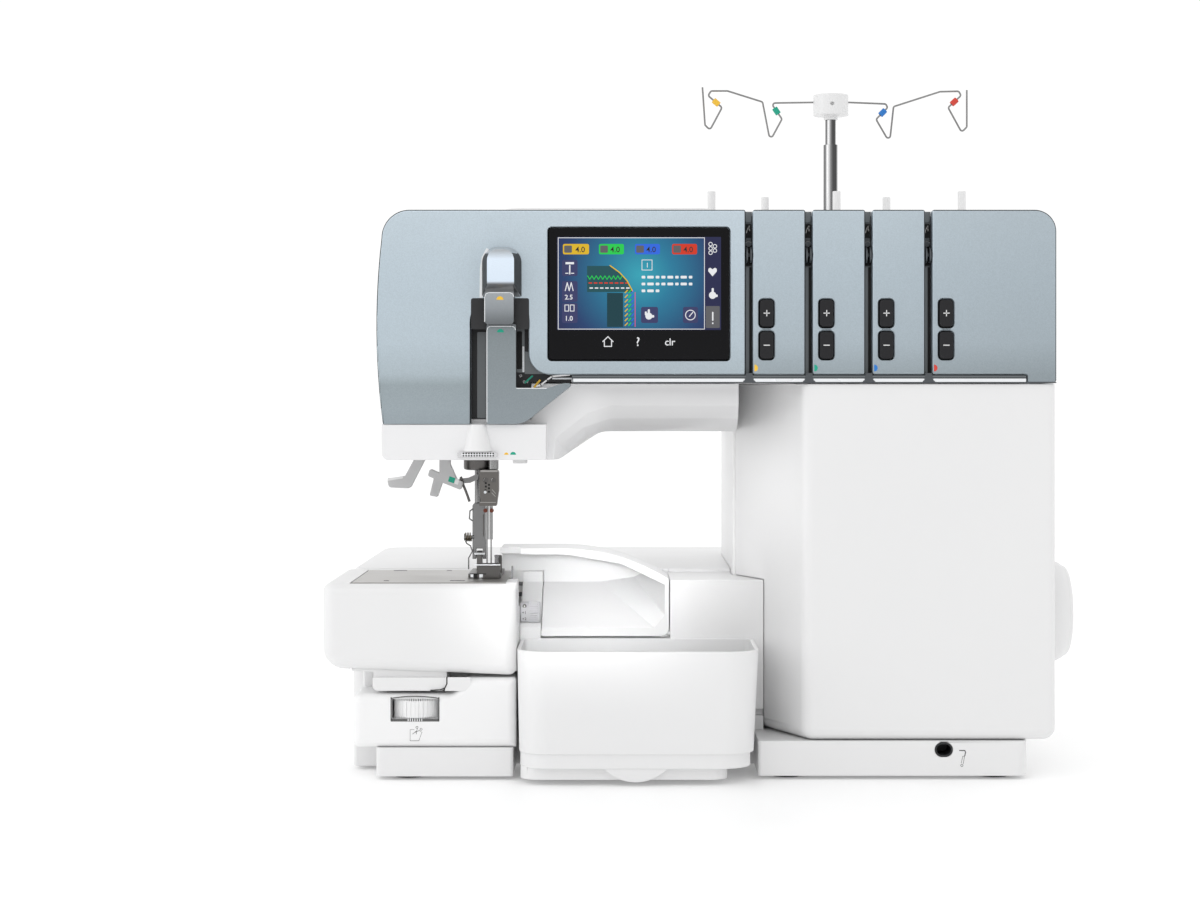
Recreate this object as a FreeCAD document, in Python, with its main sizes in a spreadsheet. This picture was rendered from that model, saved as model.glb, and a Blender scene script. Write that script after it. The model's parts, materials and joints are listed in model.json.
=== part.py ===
import FreeCAD, Part
import math
import operator
import os
import Sketcher

# An overlock machine: a flat bed on the left under a sewing head, a column on the right,
# metallic covers in front, a waste bin below the looper cover and a thread stand behind.
# Frame: X to the right, Y to the back, Z up; the origin is under the middle of the machine.

V = FreeCAD.Vector
doc = FreeCAD.newDocument("OverlockMachine")
sheet = doc.addObject("Spreadsheet::Sheet", "Sizes")


# ------------------------------------------------------------------ sizes with formulas
class Size:
    """A number together with the spreadsheet formula that gives it."""

    def __init__(self, value, formula):
        self.value = float(value)
        self.formula = formula

    def __float__(self):
        return self.value

    def __add__(self, other):
        return combine(self, "+", other)

    def __radd__(self, other):
        return combine(other, "+", self)

    def __sub__(self, other):
        return combine(self, "-", other)

    def __rsub__(self, other):
        return combine(other, "-", self)

    def __mul__(self, other):
        return combine(self, "*", other)

    def __rmul__(self, other):
        return combine(other, "*", self)

    def __truediv__(self, other):
        return combine(self, "/", other)

    def __neg__(self):
        return combine(0, "-", self)


ACTIONS = {"+": operator.add, "-": operator.sub, "*": operator.mul, "/": operator.truediv}


def as_size(number):
    return number if isinstance(number, Size) else Size(number, str(round(float(number), 4)))


def combine(first, sign, second):
    first, second = as_size(first), as_size(second)
    formula = "(" + first.formula + " " + sign + " " + second.formula + ")"
    return Size(ACTIONS[sign](first.value, second.value), formula)


def size(alias, number, note=""):
    """Write one driving dimension into the sheet and hand it back."""
    size.row = getattr(size, "row", 0) + 1
    sheet.set("A%d" % size.row, alias)
    sheet.set("B%d" % size.row, str(number))
    sheet.set("C%d" % size.row, note)
    sheet.setAlias("B%d" % size.row, alias)
    return Size(number, "Sizes." + alias)


def bind(thing, prop, number):
    thing.setExpression(prop, as_size(number).formula)


# ------------------------------------------------------------------ driving dimensions
# Levels above the table
foot_height = size("FootHeight", 2, "rubber feet below the pan")
pan_top = size("PanTop", 18, "low part of the base pan, under the left base")
deck_top = size("DeckTop", 21.5, "deck of the base pan, under the housings")
left_base_top = size("LeftBaseTop", 47.8)
shoulder_top = size("ShoulderTop", 56.8, "raised right end of the left base")
arm_seat = size("ArmSeat", 60, "underside of the free arm")
bay_floor = size("BayFloor", 74.2, "floor of the looper bay")
bin_top = size("BinTop", 74, "rim of the waste bin")
block_top = size("BlockTop", 107.5, "top of the housing right of the looper cover")
bed_top = size("BedTop", 109.5, "sewing surface")
head_low = size("HeadLow", 177.8, "underside of the sewing head")
cover_low = size("CoverLow", 197.9, "lower edge of the metallic cover on the head")
arm_low = size("ArmLow", 193.2, "underside of the arm")
panel_low = size("PanelLow", 220.6, "lower edge of the metallic cover over the column")
groove_top = size("GrooveTop", 225.3, "upper edge of the thread groove")
platform_top = size("PlatformTop", 298, "spool platform behind the column")
body_top = size("BodyTop", 317, "top of the housing")

# Places from left to right
table_left = size("TableLeft", -212)
bed_left = size("BedLeft", -208)
pan_left = size("PanLeft", -198.4)
arm_left = size("ArmLeft", -196.4, "left end of the free arm")
base_left = size("BaseLeft", -195)
plinth_left = size("PlinthLeft", -182)
head_left = size("HeadLeft", -179)
plinth_right = size("PlinthRight", -105.8)
arm_right = size("ArmRight", -104, "right end of the free arm")
bin_left = size("BinLeft", -103.1)
looper_right = size("LooperRight", -18.2, "right edge of the looper cover")
column_left = size("ColumnLeft", 20.3)
slot_first = size("SlotFirst", 23.4, "left edge of the first tension slot")
bin_right = size("BinRight", 30)
block_right = size("BlockRight", 36.1)
chamfer_right = size("ChamferRight", 56.4, "where the column's front face begins")
pan_right = size("PanRight", 180.6)
column_right = size("ColumnRight", 196)

# Places from front to back
bin_front = size("BinFront", -168.5)
front = size("Front", -143, "front face of the machine")
block_front = size("BlockFront", -97.3, "front of the housing behind the bin")
head_back = size("HeadBack", -100, "seam between the head's front cover and the arm")
column_seam = size("ColumnSeam", -59, "seam at the column's left side")
bed_front = size("BedFront", -31.3, "front edge of the rear bed")
arm_back = size("ArmBack", 45)
column_back = size("ColumnBack", 105)
platform_back = size("PlatformBack", 126)
bed_back = size("BedBack", 168.5)

# Walls and gaps
wall = size("Wall", 3.2, "housing walls")
seam = size("Seam", 0.3, "gap between neighbouring covers")
play = size("Play", 0.05, "radial play of a shaft in its bore")
air = size("Air", 0.4, "gap round a piece that slides in a window")
panel_thick = size("PanelThick", 9, "depth of the metallic front panels")
edge_round = size("EdgeRound", 1.2, "rounding of the panels' front edges")

# Base pan and feet
pan_corner = size("PanCorner", 6)
foot_radius = size("FootRadius", 9)
foot_inset = size("FootInset", 17, "from the pan's edges to a foot's centre")
knee_x = size("KneeX", 133.8)
knee_z = size("KneeZ", 16.6, "below the deck, in the front of the pan")
knee_width = size("KneeWidth", 8)
knee_height = size("KneeHeight", 6)
knee_depth = size("KneeDepth", 16)
knee_lining = size("KneeLining", 1)

# Bed behind the free arm
bed_corner = size("BedCorner", 20)
bed_edge = size("BedEdge", 3)

# Left base with the width dial
wheel_x = size("WidthWheelX", -160.3)
wheel_low = size("WidthWheelLow", 34.6)
wheel_high = size("WidthWheelHigh", 44)
wheel_radius = size("WidthWheelRadius", 12.4)
wheel_inset = size("WidthWheelInset", 11.6, "from the front face back to the wheel's axis")
wheel_pin = size("WidthWheelPin", 2)
wheel_pin_long = size("WidthWheelPinLong", 3)
window_gap = size("WindowGap", 0.95, "gap round the cutting width wheel")
lip_left = size("LipLeft", -184, "left end of the free arm's lower lip")
lip_right = size("LipRight", -143)
rib_depth = size("RibDepth", 0.5)

# Free arm and needle plate
needle_x = size("NeedleX", -122.2)
needle_y = size("NeedleY", -88)
plate_thick = size("PlateThick", 2.2)
plate_right = size("PlateRight", -110)
arm_leg_left = size("ArmLegLeft", -118, "left side of the leg that joins the free arm to the bed")
pocket_left = size("PocketLeft", -133)
arm_end_wall = size("ArmEndWall", 3.5, "right end wall of the free arm")
pocket_low = size("PocketLow", 82)
slot_width = size("FeedSlotWidth", 2.6)
slot_pitch = size("FeedSlotPitch", 5.2)
slot_long = size("FeedSlotLong", 30)
knife_thick = size("KnifeThick", 1.2)
feed_play = size("FeedPlay", 0.5)
feed_travel = size("FeedTravel", 1.6)

# Extension table
table_wall = size("TableWall", 4.2)
table_low_left = size("TableLowLeft", 61.8)
table_low_right = size("TableLowRight", 57.3)

table_corner = size("TableCorner", 12)
rail_low = size("RailLow", 29.8, "rail slot across the front, behind the bin")
rail_high = size("RailHigh", 33.4)
rail_deep = size("RailDeep", 4)

# Looper cover, its hinge and the thread dial
hinge_y = size("HingeY", -95.3)
hinge_z = size("HingeZ", 77.2)
hinge_pin = size("HingePin", 1.3)
hinge_pin_long = size("HingePinLong", 3.5)
cover_low_edge = size("LooperCoverLow", 75.2)
lip_height = size("LooperLipHeight", 80, "upright band at the looper cover's foot")
dish_back = size("DishBack", -59, "deepest place of the looper cover's dish")
dish_top = size("DishTop", 103.5, "where the dish meets its back wall")
crease_front = size("CreaseFront", -26.5, "right end of the dish's crease, at the front")
crease_back = size("CreaseBack", -58, "left end of the dish's crease, at the back")
ridge_top = size("RidgeTop", 125.8)
ridge_left = size("RidgeLeft", -116)
ridge_thick = size("RidgeThick", 3.6, "rim over the looper cover's dish")
ridge_setback = size("RidgeSetback", 12.8, "rim set back where it reaches over the free arm")
cover_corner = size("LooperCoverCorner", 5)
ridge_flat = size("RidgeFlat", -78, "where the ridge begins to fall")
cover_rear = size("LooperCoverRear", -54.5)
cover_skin = size("LooperCoverSkin", 3)
notch_right = size("NotchRight", -91.5, "the looper cover's notch for the thread dial")
notch_top = size("NotchTop", 110.2)
dial_y = size("DialY", -90.6)
dial_z = size("DialZ", 88.6)
dial_radius = size("DialRadius", 6)
dial_right = size("DialRight", -92.6)
dial_pin = size("DialPin", 1.5)
dial_pin_long = size("DialPinLong", 3)

# Column, arm and head
arm_corner = size("ArmCorner", 15.6, "rounding of the head's top left corner")
column_corner = size("ColumnCorner", 12)
roof_round = size("RoofRound", 5)
core_front = front + panel_thick + 3
seam_x = size("SeamX", 20)
cove_mid = size("CoveMid", 0.72, "how far the cove has come in a third of its depth")
shaft_y = size("ShaftY", -68)
shaft_z = size("ShaftZ", 87.4)
shaft_radius = size("ShaftRadius", 4)
cover_wall = size("CoverWall", 2.6)
slant_left = size("SlantLeft", -83.5, "foot of the metallic cover's slanted edge")
slant_right = size("SlantRight", -57.5)
needle_bar_radius = size("NeedleBarRadius", 3)
presser_x = size("PresserX", -128.4)
presser_y = size("PresserY", -74)
presser_radius = size("PresserRadius", 3)

# Metallic front covers, tension slots and buttons
tension_count = 4
tension_pitch = size("TensionPitch", 33.25)
slot_wide = size("SlotWide", 4, "width of a tension slot")
bow = size("Bow", 2.6, "how far the head's left edge bulges")
bow_z = size("BowZ", 238)
channel_left = size("ChannelLeft", -129.3, "dark channel round the thread guard")
channel_right = size("ChannelRight", -97.2)
channel_top = size("ChannelTop", 268.4)
channel_bend = size("ChannelBend", 12)
guard_left = size("GuardLeft", -120.5)
guard_right = size("GuardRight", -104)
guard_foot = size("GuardFoot", -100, "where the lower guard begins to rise to the right")
guard_tip = size("GuardTip", -71.5, "right end of the lower guard")
guard_top = size("GuardTop", 252.4, "top of the lower thread guard")
tier_top = size("TierTop", 270.4, "top of the middle thread guard")
arch_left = size("ArchLeft", -123.2)
arch_right = size("ArchRight", -101)
arch_top = size("ArchTop", 296.3)
arch_deep = size("ArchDeep", 12, "how far the upper guard stands out")
tier_deep = size("TierDeep", 8)
screen_left = size("ScreenLeft", -85.8)
screen_right = size("ScreenRight", 14.2)
screen_low = size("ScreenLow", 233.7)
screen_high = size("ScreenHigh", 306.8)
screen_thick = size("ScreenThick", 3)
button_offset = size("ButtonOffset", 3.9, "from a slot's right edge to its buttons")
button_width = size("ButtonWidth", 7.6)
plus_low = size("PlusLow", 251.9)
plus_high = size("PlusHigh", 267)
minus_low = size("MinusLow", 234.1)
minus_high = size("MinusHigh", 249.2)
button_proud = size("ButtonProud", 0.9)
button_round = size("ButtonRound", 2.2)
disc_radius = size("DiscRadius", 4.4)
disc_thick = size("DiscThick", 1)
disc_z = size("DiscZ", 292)
strip_left = size("StripLeft", -73.4)
strip_right = size("StripRight", 180)

# Sewing head
funnel_wide = size("FunnelWide", 16.4)
funnel_narrow = size("FunnelNarrow", 9)
funnel_x = size("FunnelX", -125.5)
funnel_low = size("FunnelLow", 182.6)
guide_plate_low = size("GuidePlateLow", 179.4)
lamp_left = size("LampLeft", -107.2)
lamp_right = size("LampRight", -99.3)
lamp_thick = size("LampThick", 2.6)
bush_radius = size("BushRadius", 8)
bush_long = size("BushLong", 7.5)
clamp_x = size("ClampX", -122)
clamp_wide = size("ClampWide", 11.2)
needle_thick = size("NeedleThick", 0.45, "radius of a needle's blade")
needle_shank = size("NeedleShank", 1, "radius of a needle's shank")
clamp_low = size("ClampLow", 150)
clamp_high = size("ClampHigh", 171)
clamp_room = size("ClampRoom", 17, "pocket above the clamp for the needle bar's stroke")
needle_gap = size("NeedleGap", 2.4, "between the two needles, both ways")
needle_tip = size("NeedleTip", 110.4)
bar_top = size("BarTop", 262)
shank_wide = size("ShankWide", 8.2)
shank_low = size("ShankLow", 118.4)
shank_high = size("ShankHigh", 151)
foot_left = size("FootLeft", -133.2)
foot_right = size("FootRight", -114.3)
foot_sole = size("FootSole", 2.2)
foot_front = size("FootFront", -110)
foot_rear = size("FootRear", -64)
heel_relief = size("HeelRelief", 1.4, "how far the foot's heel rises behind the pin")
sole_gap = size("SoleGap", 0.2, "presser foot above the needle plate")
lever_y = size("LeverY", -90)
lever_thick = size("LeverThick", 7)
lifter_x = size("LifterX", -161.7)
lever_neck = size("LeverNeck", 6.3)
lever_pivot_z = size("LeverPivotZ", 183.5)
lever_pin = size("LeverPin", 1.5)
threader_x = size("ThreaderX", -147.5)
lever_well = size("LeverWell", 12, "depth of the levers' wells in the head")
threader_drop = size("ThreaderDrop", 22.6, "needle threader's finger tab below the head")
threader_rise = size("ThreaderRise", 8.8, "from the finger tab to the slanting bar")
lift_high = size("LiftHigh", 6, "lift of the presser foot")
foot_lip = size("FootLip", 8.4, "height of the presser foot's upturned toe")
foot_lip_thick = size("FootLipThick", 2.6)
fork_gap = size("ForkGap", 1.9, "half the gap in the presser bar's fork")
foot_pin = size("FootPin", 1.1)

# Loopers and upper knife
looper_y = size("LooperY", -53.6, "front of the lower looper's arm")
looper_thick = size("LooperThick", 2)
looper_gap = size("LooperGap", 1.2)
lower_hub_x = size("LowerHubX", -76)
lower_hub_z = size("LowerHubZ", 88)
upper_hub_x = size("UpperHubX", -58)
upper_hub_z = size("UpperHubZ", 94)
hub_radius = size("HubRadius", 5)
hub_pin = size("HubPin", 2)
lower_arm_z = size("LowerArmZ", 94.6)
upper_arm_z = size("UpperArmZ", 100.6)
looper_bar_x = size("LooperBarX", -110.4)

# Drive
handwheel_radius = size("HandwheelRadius", 29.7)
handwheel_right = size("HandwheelRight", 215.4)
pulley_radius = size("PulleyRadius", 24)
pulley_left = size("PulleyLeft", 118)
pulley_wide = size("PulleyWide", 10)
belt_wide = size("BeltWide", 7)
belt_thick = size("BeltThick", 1.6)
belt_gap = size("BeltGap", 0.3)
motor_y = size("MotorY", 10)
motor_z = size("MotorZ", 52)
motor_radius = size("MotorRadius", 24)
motor_left = size("MotorLeft", 66)
motor_long = size("MotorLong", 44)
motor_shaft = size("MotorShaft", 2.5)
motor_pulley_radius = size("MotorPulleyRadius", 7)

# Waste bin
bin_wall = size("BinWall", 2.2)
bin_low = size("BinLow", 2.4)
bin_floor = size("BinFloor", 12.5)
bin_band = size("BinBand", 9.8)
bin_body_low = size("BinBodyLow", 17.8)
bin_front_round = size("BinFrontRound", 17)
bin_back_round = size("BinBackRound", 5)
bin_taper = size("BinTaper", 2)
tray_right = size("TrayRight", 12.8)
bump_left = size("BumpLeft", -55.7)
bump_right = size("BumpRight", -20.2)
bin_seat = size("BinSeat", 0.4, "gap between the bin and the housing behind it")
arm_deep = size("ArmDeep", 93, "free arm from front to back")
left_foot_setback = size("LeftFootSetback", 37)

# Thread stand, spool pins and carry handle
platform_left = size("PlatformLeft", -8)
platform_right = size("PlatformRight", 192)
platform_thick = size("PlatformThick", 12)
pole_x = size("PoleX", 93.2)
pole_y = size("PoleY", 107)
lower_tube_radius = size("LowerTubeRadius", 4.8)
lower_tube_top = size("LowerTubeTop", 379.6)
upper_tube_radius = size("UpperTubeRadius", 3.6)
hub_low = size("HubLow", 398.8)
hub_high = size("HubHigh", 13.9)
guide_hub_radius = size("GuideHubRadius", 11.6)
wire_radius = size("WireRadius", 0.6)
wire_drop = size("WireDrop", 4.9, "guide wires below the hub's top")
bead_radius = size("BeadRadius", 1.9)
bead_long = size("BeadLong", 4.8)
pin_radius = size("PinRadius", 2.6)
pin_top = size("PinTop", 345)
front_pin_x = size("FrontPinX", 12.4)
back_pin_x = size("BackPinX", 49.6)
pin_pitch = size("PinPitch", 80.5)
front_pin_y = size("FrontPinY", 62)
handle_left = size("HandleLeft", -115.7)
handle_right = size("HandleRight", 9)
handle_front = size("HandleFront", -42)
handle_pivot_y = size("HandlePivotY", 12)
handle_gap = size("HandleGap", 1.2, "folded handle above the housing")
handle_thick = size("HandleThick", 8)
handle_bar = size("HandleBar", 11)
handle_pin = size("HandlePin", 2)

# Mains socket, switch and screws on the hidden sides
inlet_y = size("InletY", 148)
switch_y = size("SwitchY", 122)
mains_z = size("MainsZ", 62)
inlet_wide = size("InletWide", 20)
inlet_high = size("InletHigh", 14)
switch_wide = size("SwitchWide", 13)
switch_high = size("SwitchHigh", 19)
mains_deep = size("MainsDeep", 14)
screw_radius = size("ScrewRadius", 2.8)
screw_deep = size("ScrewDeep", 3)
# ------------------------------------------------------------------ drawing helpers
PLANES = {"XY": ("XY_Plane", 1), "XZ": ("XZ_Plane", -1), "YZ": ("YZ_Plane", 1)}
nodes = []


class Through:
    """Bends the stretch between two corners into an arc through this point."""

    def __init__(self, u, v):
        self.u, self.v = as_size(u), as_size(v)


class Circle:
    def __init__(self, u, v, radius):
        self.u, self.v, self.radius = as_size(u), as_size(v), as_size(radius)


def rectangle(left, low, right, high, radius=None):
    corners = [(left, low), (right, low), (right, high), (left, high)]
    return [corner + ((radius,) if radius is not None else ()) for corner in corners]


def part(name, x=0, y=0, z=0):
    """A new sub-part: a body with its own place in the machine."""
    body = doc.addObject("PartDesign::Body", name)
    body.Label = name
    for axis, place in zip("xyz", (x, y, z)):
        bind(body, "Placement.Base." + axis, place)
    nodes.append(body)
    return body


def origin(body, role):
    return [item for item in body.Origin.OriginFeatures if item.Role == role][0]


def pin(rules, geometry, end, u, v):
    """Tie one point of the sketch to its two distances from the sketch's origin."""
    for kind, number in (("DistanceX", u), ("DistanceY", v)):
        rules.append((Sketcher.Constraint(kind, -1, 1, geometry, end, float(number)), number))


def fix_radius(rules, geometry, radius):
    rules.append((Sketcher.Constraint("Radius", geometry, float(radius)), radius))


def rounded(corner, before, after, radius):
    """Start, middle and end of the arc that rounds a corner between two neighbours."""
    back, ahead = (before - corner).normalize(), (after - corner).normalize()
    half = back.getAngle(ahead) / 2
    inward = (back + ahead).normalize()
    centre = corner + inward * (radius / math.sin(half))
    reach = radius / math.tan(half)
    return corner + back * reach, centre - inward * radius, corner + ahead * reach


def outline(sketch, rules, items, closed=True):
    """Lines and arcs through corners given as (u, v) or (u, v, rounding radius)."""
    corners = [item for item in items if not isinstance(item, Through)]
    bends = {}
    for index, item in enumerate(items):
        if isinstance(item, Through):
            bends[sum(1 for one in items[:index] if not isinstance(one, Through)) - 1] = item
    points = [V(float(corner[0]), float(corner[1]), 0) for corner in corners]
    count = len(points)
    ends = []
    for index, corner in enumerate(corners):
        if len(corner) > 2:
            after = points[(index + 1) % count]
            ends.append(rounded(points[index], points[index - 1], after, float(corner[2])))
        else:
            ends.append((points[index], None, points[index]))
    sides = {}
    for index in range(count if closed else count - 1):
        start, stop = ends[index][2], ends[(index + 1) % count][0]
        if index in bends:
            middle = V(float(bends[index].u), float(bends[index].v), 0)
            sides[index] = sketch.addGeometry(Part.Arc(start, middle, stop), False)
        else:
            sides[index] = sketch.addGeometry(Part.LineSegment(start, stop), False)
    arcs = {}
    for index, (start, middle, stop) in enumerate(ends):
        if middle is not None:
            arcs[index] = sketch.addGeometry(Part.Arc(start, middle, stop), False)

    def end_at(geometry, point):
        return min((1, 2), key=lambda end: (sketch.getPoint(geometry, end) - point).Length)

    for index, corner in enumerate(corners):
        start, middle, stop = ends[index]
        before = sides.get((index - 1) % count) if closed or index else None
        after = sides.get(index)
        if middle is not None:
            arc = arcs[index]
            for side, point in ((before, start), (after, stop)):
                joint = (side, end_at(side, point), arc, end_at(arc, point))
                rules.append((Sketcher.Constraint("Tangent", *joint), None))
            fix_radius(rules, arc, corner[2])
            sharp = sketch.addGeometry(Part.Point(points[index]), True)
            for side in (before, after):
                rules.append((Sketcher.Constraint("PointOnObject", sharp, 1, side), None))
            pin(rules, sharp, 1, corner[0], corner[1])
        else:
            if before is not None and after is not None:
                joint = (before, end_at(before, start), after, end_at(after, start))
                rules.append((Sketcher.Constraint("Coincident", *joint), None))
            side = after if after is not None else before
            pin(rules, side, end_at(side, start), corner[0], corner[1])
        if index in bends:
            bend = bends[index]
            middle = V(float(bend.u), float(bend.v), 0)
            through = sketch.addGeometry(Part.Point(middle), True)
            rules.append((Sketcher.Constraint("PointOnObject", through, 1, after), None))
            pin(rules, through, 1, bend.u, bend.v)


def draw(body, plane, loops, at=0, name="Sketch", closed=True):
    """A sketch on one of the body's origin planes, moved along the plane's normal."""
    role, sign = PLANES[plane]
    sketch = body.newObject("Sketcher::SketchObject", name)
    sketch.AttachmentSupport = [(origin(body, role), "")]
    sketch.MapMode = "FlatFace"
    bind(sketch, "AttachmentOffset.Base.z", as_size(at) * sign)
    rules = []
    for loop in loops:
        if isinstance(loop, Circle):
            ring = Part.Circle(V(float(loop.u), float(loop.v), 0), V(0, 0, 1), float(loop.radius))
            geometry = sketch.addGeometry(ring, False)
            pin(rules, geometry, 3, loop.u, loop.v)
            fix_radius(rules, geometry, loop.radius)
        else:
            outline(sketch, rules, loop, closed)
    sketch.addConstraint([constraint for constraint, number in rules])
    for index, (constraint, number) in enumerate(rules):
        if number is not None:
            bind(sketch, "Constraints[%d]" % index, number)
    return sketch


def extrude(kind, body, plane, loops, low, high):
    low, high = as_size(low), as_size(high)
    sketch = draw(body, plane, loops, high if plane == "XZ" else low)
    feature = body.newObject("PartDesign::" + kind, kind)
    feature.Profile = sketch
    bind(feature, "Length", high - low)
    feature.Reversed = kind == "Pocket"
    doc.recompute()
    return feature


def pad(body, plane, loops, low, high):
    """Material between two places along the plane's normal axis."""
    return extrude("Pad", body, plane, loops, low, high)


def cut(body, plane, loops, low, high):
    """A pocket between two places along the plane's normal axis."""
    before = body.Tip.Shape.Volume
    feature = extrude("Pocket", body, plane, loops, low, high)
    if feature.Shape.Volume > before - 0.01:
        raise RuntimeError("a pocket of " + body.Label + " cuts nothing")
    return feature


def turn(body, loop, axis="V_Axis", plane="XZ", kind="Revolution", at=0):
    sketch = draw(body, plane, [loop], at)
    feature = body.newObject("PartDesign::" + kind, kind)
    feature.Profile = sketch
    feature.ReferenceAxis = (sketch, [axis])
    feature.Angle = 360
    doc.recompute()
    return feature


def loft(body, plane, sections, kind="AdditiveLoft", ruled=False):
    """A body or a cut through outlines given as (place along the normal, outline)."""
    sketches = [draw(body, plane, [loop], at) for at, loop in sections]
    feature = body.newObject("PartDesign::" + kind, kind)
    feature.Profile = sketches[0]
    feature.Sections = sketches[1:]
    feature.Ruled = ruled
    doc.recompute()
    return feature


def pipe(body, plane, corners, radius, start_plane, at=0, start=(0, 0)):
    """A round wire along an open path whose first stretch leaves the start plane."""
    path = draw(body, plane, [corners], at, "Path", closed=False)
    doc.recompute()
    profile = draw(body, start_plane, [Circle(start[0], start[1], radius)], corners[0][0])
    feature = body.newObject("PartDesign::AdditivePipe", "Pipe")
    feature.Profile = profile
    feature.Spine = (path, ["Edge%d" % (index + 1) for index in range(len(path.Shape.Edges))])
    doc.recompute()
    return feature


def edges(body, x=None, y=None, z=None, along=None, test=None):
    """Names of the straight or round edges that lie in the given planes."""
    found = []
    for index, edge in enumerate(body.Tip.Shape.Edges):
        box = edge.BoundBox
        spans = {"X": (box.XMin, box.XMax), "Y": (box.YMin, box.YMax), "Z": (box.ZMin, box.ZMax)}
        fits = True
        for axis, place in (("X", x), ("Y", y), ("Z", z)):
            if place is not None:
                low, high = spans[axis]
                fits = fits and max(abs(low - float(place)), abs(high - float(place))) < 0.02
        if along:
            across = sum(high - low for axis, (low, high) in spans.items() if axis != along)
            fits = fits and across < 0.02
        if fits and (test is None or test(edge)):
            found.append("Edge%d" % (index + 1))
    return found


def blend(body, radius, names, kind="Fillet"):
    """Round or chamfer the named edges of the body's last feature."""
    if not names:
        raise RuntimeError("no edge to round on " + body.Label)
    base = body.Tip
    feature = body.newObject("PartDesign::" + kind, kind)
    feature.Base = (base, names)
    bind(feature, "Radius" if kind == "Fillet" else "Size", radius)
    doc.recompute()
    return feature


def repeat(body, feature, axis, step, count):
    """Copies of a feature in a row along an axis of the body."""
    pattern = body.newObject("PartDesign::LinearPattern", "Row")
    pattern.Originals = [feature]
    pattern.Direction = (origin(body, axis + "_Axis"), [""])
    bind(pattern, "Length", as_size(step) * (count - 1))
    pattern.Occurrences = count
    body.Tip = pattern
    doc.recompute()
    return pattern


def ring_of(body, feature, axis, count):
    """Copies of a feature in a full ring about an axis of the body."""
    pattern = body.newObject("PartDesign::PolarPattern", "Ring")
    pattern.Originals = [feature]
    pattern.Axis = (origin(body, axis + "_Axis"), [""])
    pattern.Angle = 360
    pattern.Occurrences = count
    body.Tip = pattern
    doc.recompute()
    return pattern


# ------------------------------------------------------------------ base pan and feet
pan_back = bed_back - 4
pan_front_right = front + 2
left_foot_front = front + left_foot_setback

base_pan = part("base_pan")
pad(
    base_pan,
    "XY",
    [
        [
            (plinth_left, front, 3),
            (plinth_right, front, 2),
            (plinth_right, block_front),
            (bin_right + 0.5, block_front),
            (bin_right + 0.5, pan_front_right, 2),
            (pan_right, pan_front_right, pan_corner),
            (pan_right, pan_back, pan_corner),
            (pan_left, pan_back, pan_corner),
            (pan_left, left_foot_front, 2),
            (plinth_left, left_foot_front),
        ]
    ],
    foot_height,
    pan_top,
)
pad(
    base_pan,
    "XY",
    [
        [
            (arm_right, bed_front),
            (arm_right, block_front),
            (bin_right + 0.5, block_front),
            (bin_right + 0.5, pan_front_right, 2),
            (pan_right, pan_front_right, pan_corner),
            (pan_right, pan_back, pan_corner),
            (pan_left, pan_back, pan_corner),
            (pan_left, bed_front),
        ]
    ],
    pan_top,
    deck_top,
)

# The knee lever's socket is a blind oblong hole in the pan's right front.

def oblong(x, z, width, height, grow=0):
    """A slot with half-round ends, lying along X."""
    reach = (width - height) / 2
    radius = height / 2 + grow
    left, right = x - reach, x + reach
    return [
        (left, z - radius),
        (right, z - radius),
        Through(right + radius, z),
        (right, z + radius),
        (left, z + radius),
        Through(left - radius, z),
    ]

knee_back = pan_front_right + knee_depth
cut(
    base_pan,
    "XZ",
    [oblong(knee_x, knee_z, knee_width, knee_height, knee_lining)],
    pan_front_right - 1,
    knee_back,
)

knee_lift_socket = part("knee_lift_socket")
pad(
    knee_lift_socket,
    "XZ",
    [
        oblong(knee_x, knee_z, knee_width, knee_height, knee_lining),
        oblong(knee_x, knee_z, knee_width, knee_height),
    ],
    pan_front_right,
    knee_back - 1,
)
pad(
    knee_lift_socket,
    "XZ",
    [oblong(knee_x, knee_z, knee_width, knee_height, knee_lining)],
    knee_back - 1,
    knee_back,
)

rubber_feet = part("rubber_feet")
pad(
    rubber_feet,
    "XY",
    [
        Circle(plinth_left + foot_inset, front + foot_inset, foot_radius),
        Circle(bin_right + foot_inset, pan_front_right + foot_inset, foot_radius),
        Circle(pan_right - foot_inset, pan_front_right + foot_inset, foot_radius),
        Circle(pan_left + foot_inset, pan_back - foot_inset, foot_radius),
        Circle(pan_right - foot_inset, pan_back - foot_inset, foot_radius),
    ],
    0,
    foot_height,
)

# ------------------------------------------------------------------ bed behind the free arm
rear_bed = part("rear_bed")
pad(
    rear_bed,
    "XY",
    [
        [
            (bed_left, bed_front, 8),
            (column_left - seam, bed_front),
            (column_left - seam, column_back + seam),
            (pan_right + 4, column_back + seam, 4),
            (pan_right + 4, bed_back, 12),
            (bed_left, bed_back, bed_corner),
        ]
    ],
    deck_top,
    bed_top,
)
blend(
    rear_bed,
    bed_edge,
    edges(rear_bed, z=bed_top, test=lambda edge: edge.BoundBox.YMax > float(bed_back) - 0.1)
    + edges(rear_bed, x=bed_left, z=bed_top),
)

# ------------------------------------------------------------------ left base with the width dial
wheel_y = front + wheel_inset
raised_front = front + 35

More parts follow.
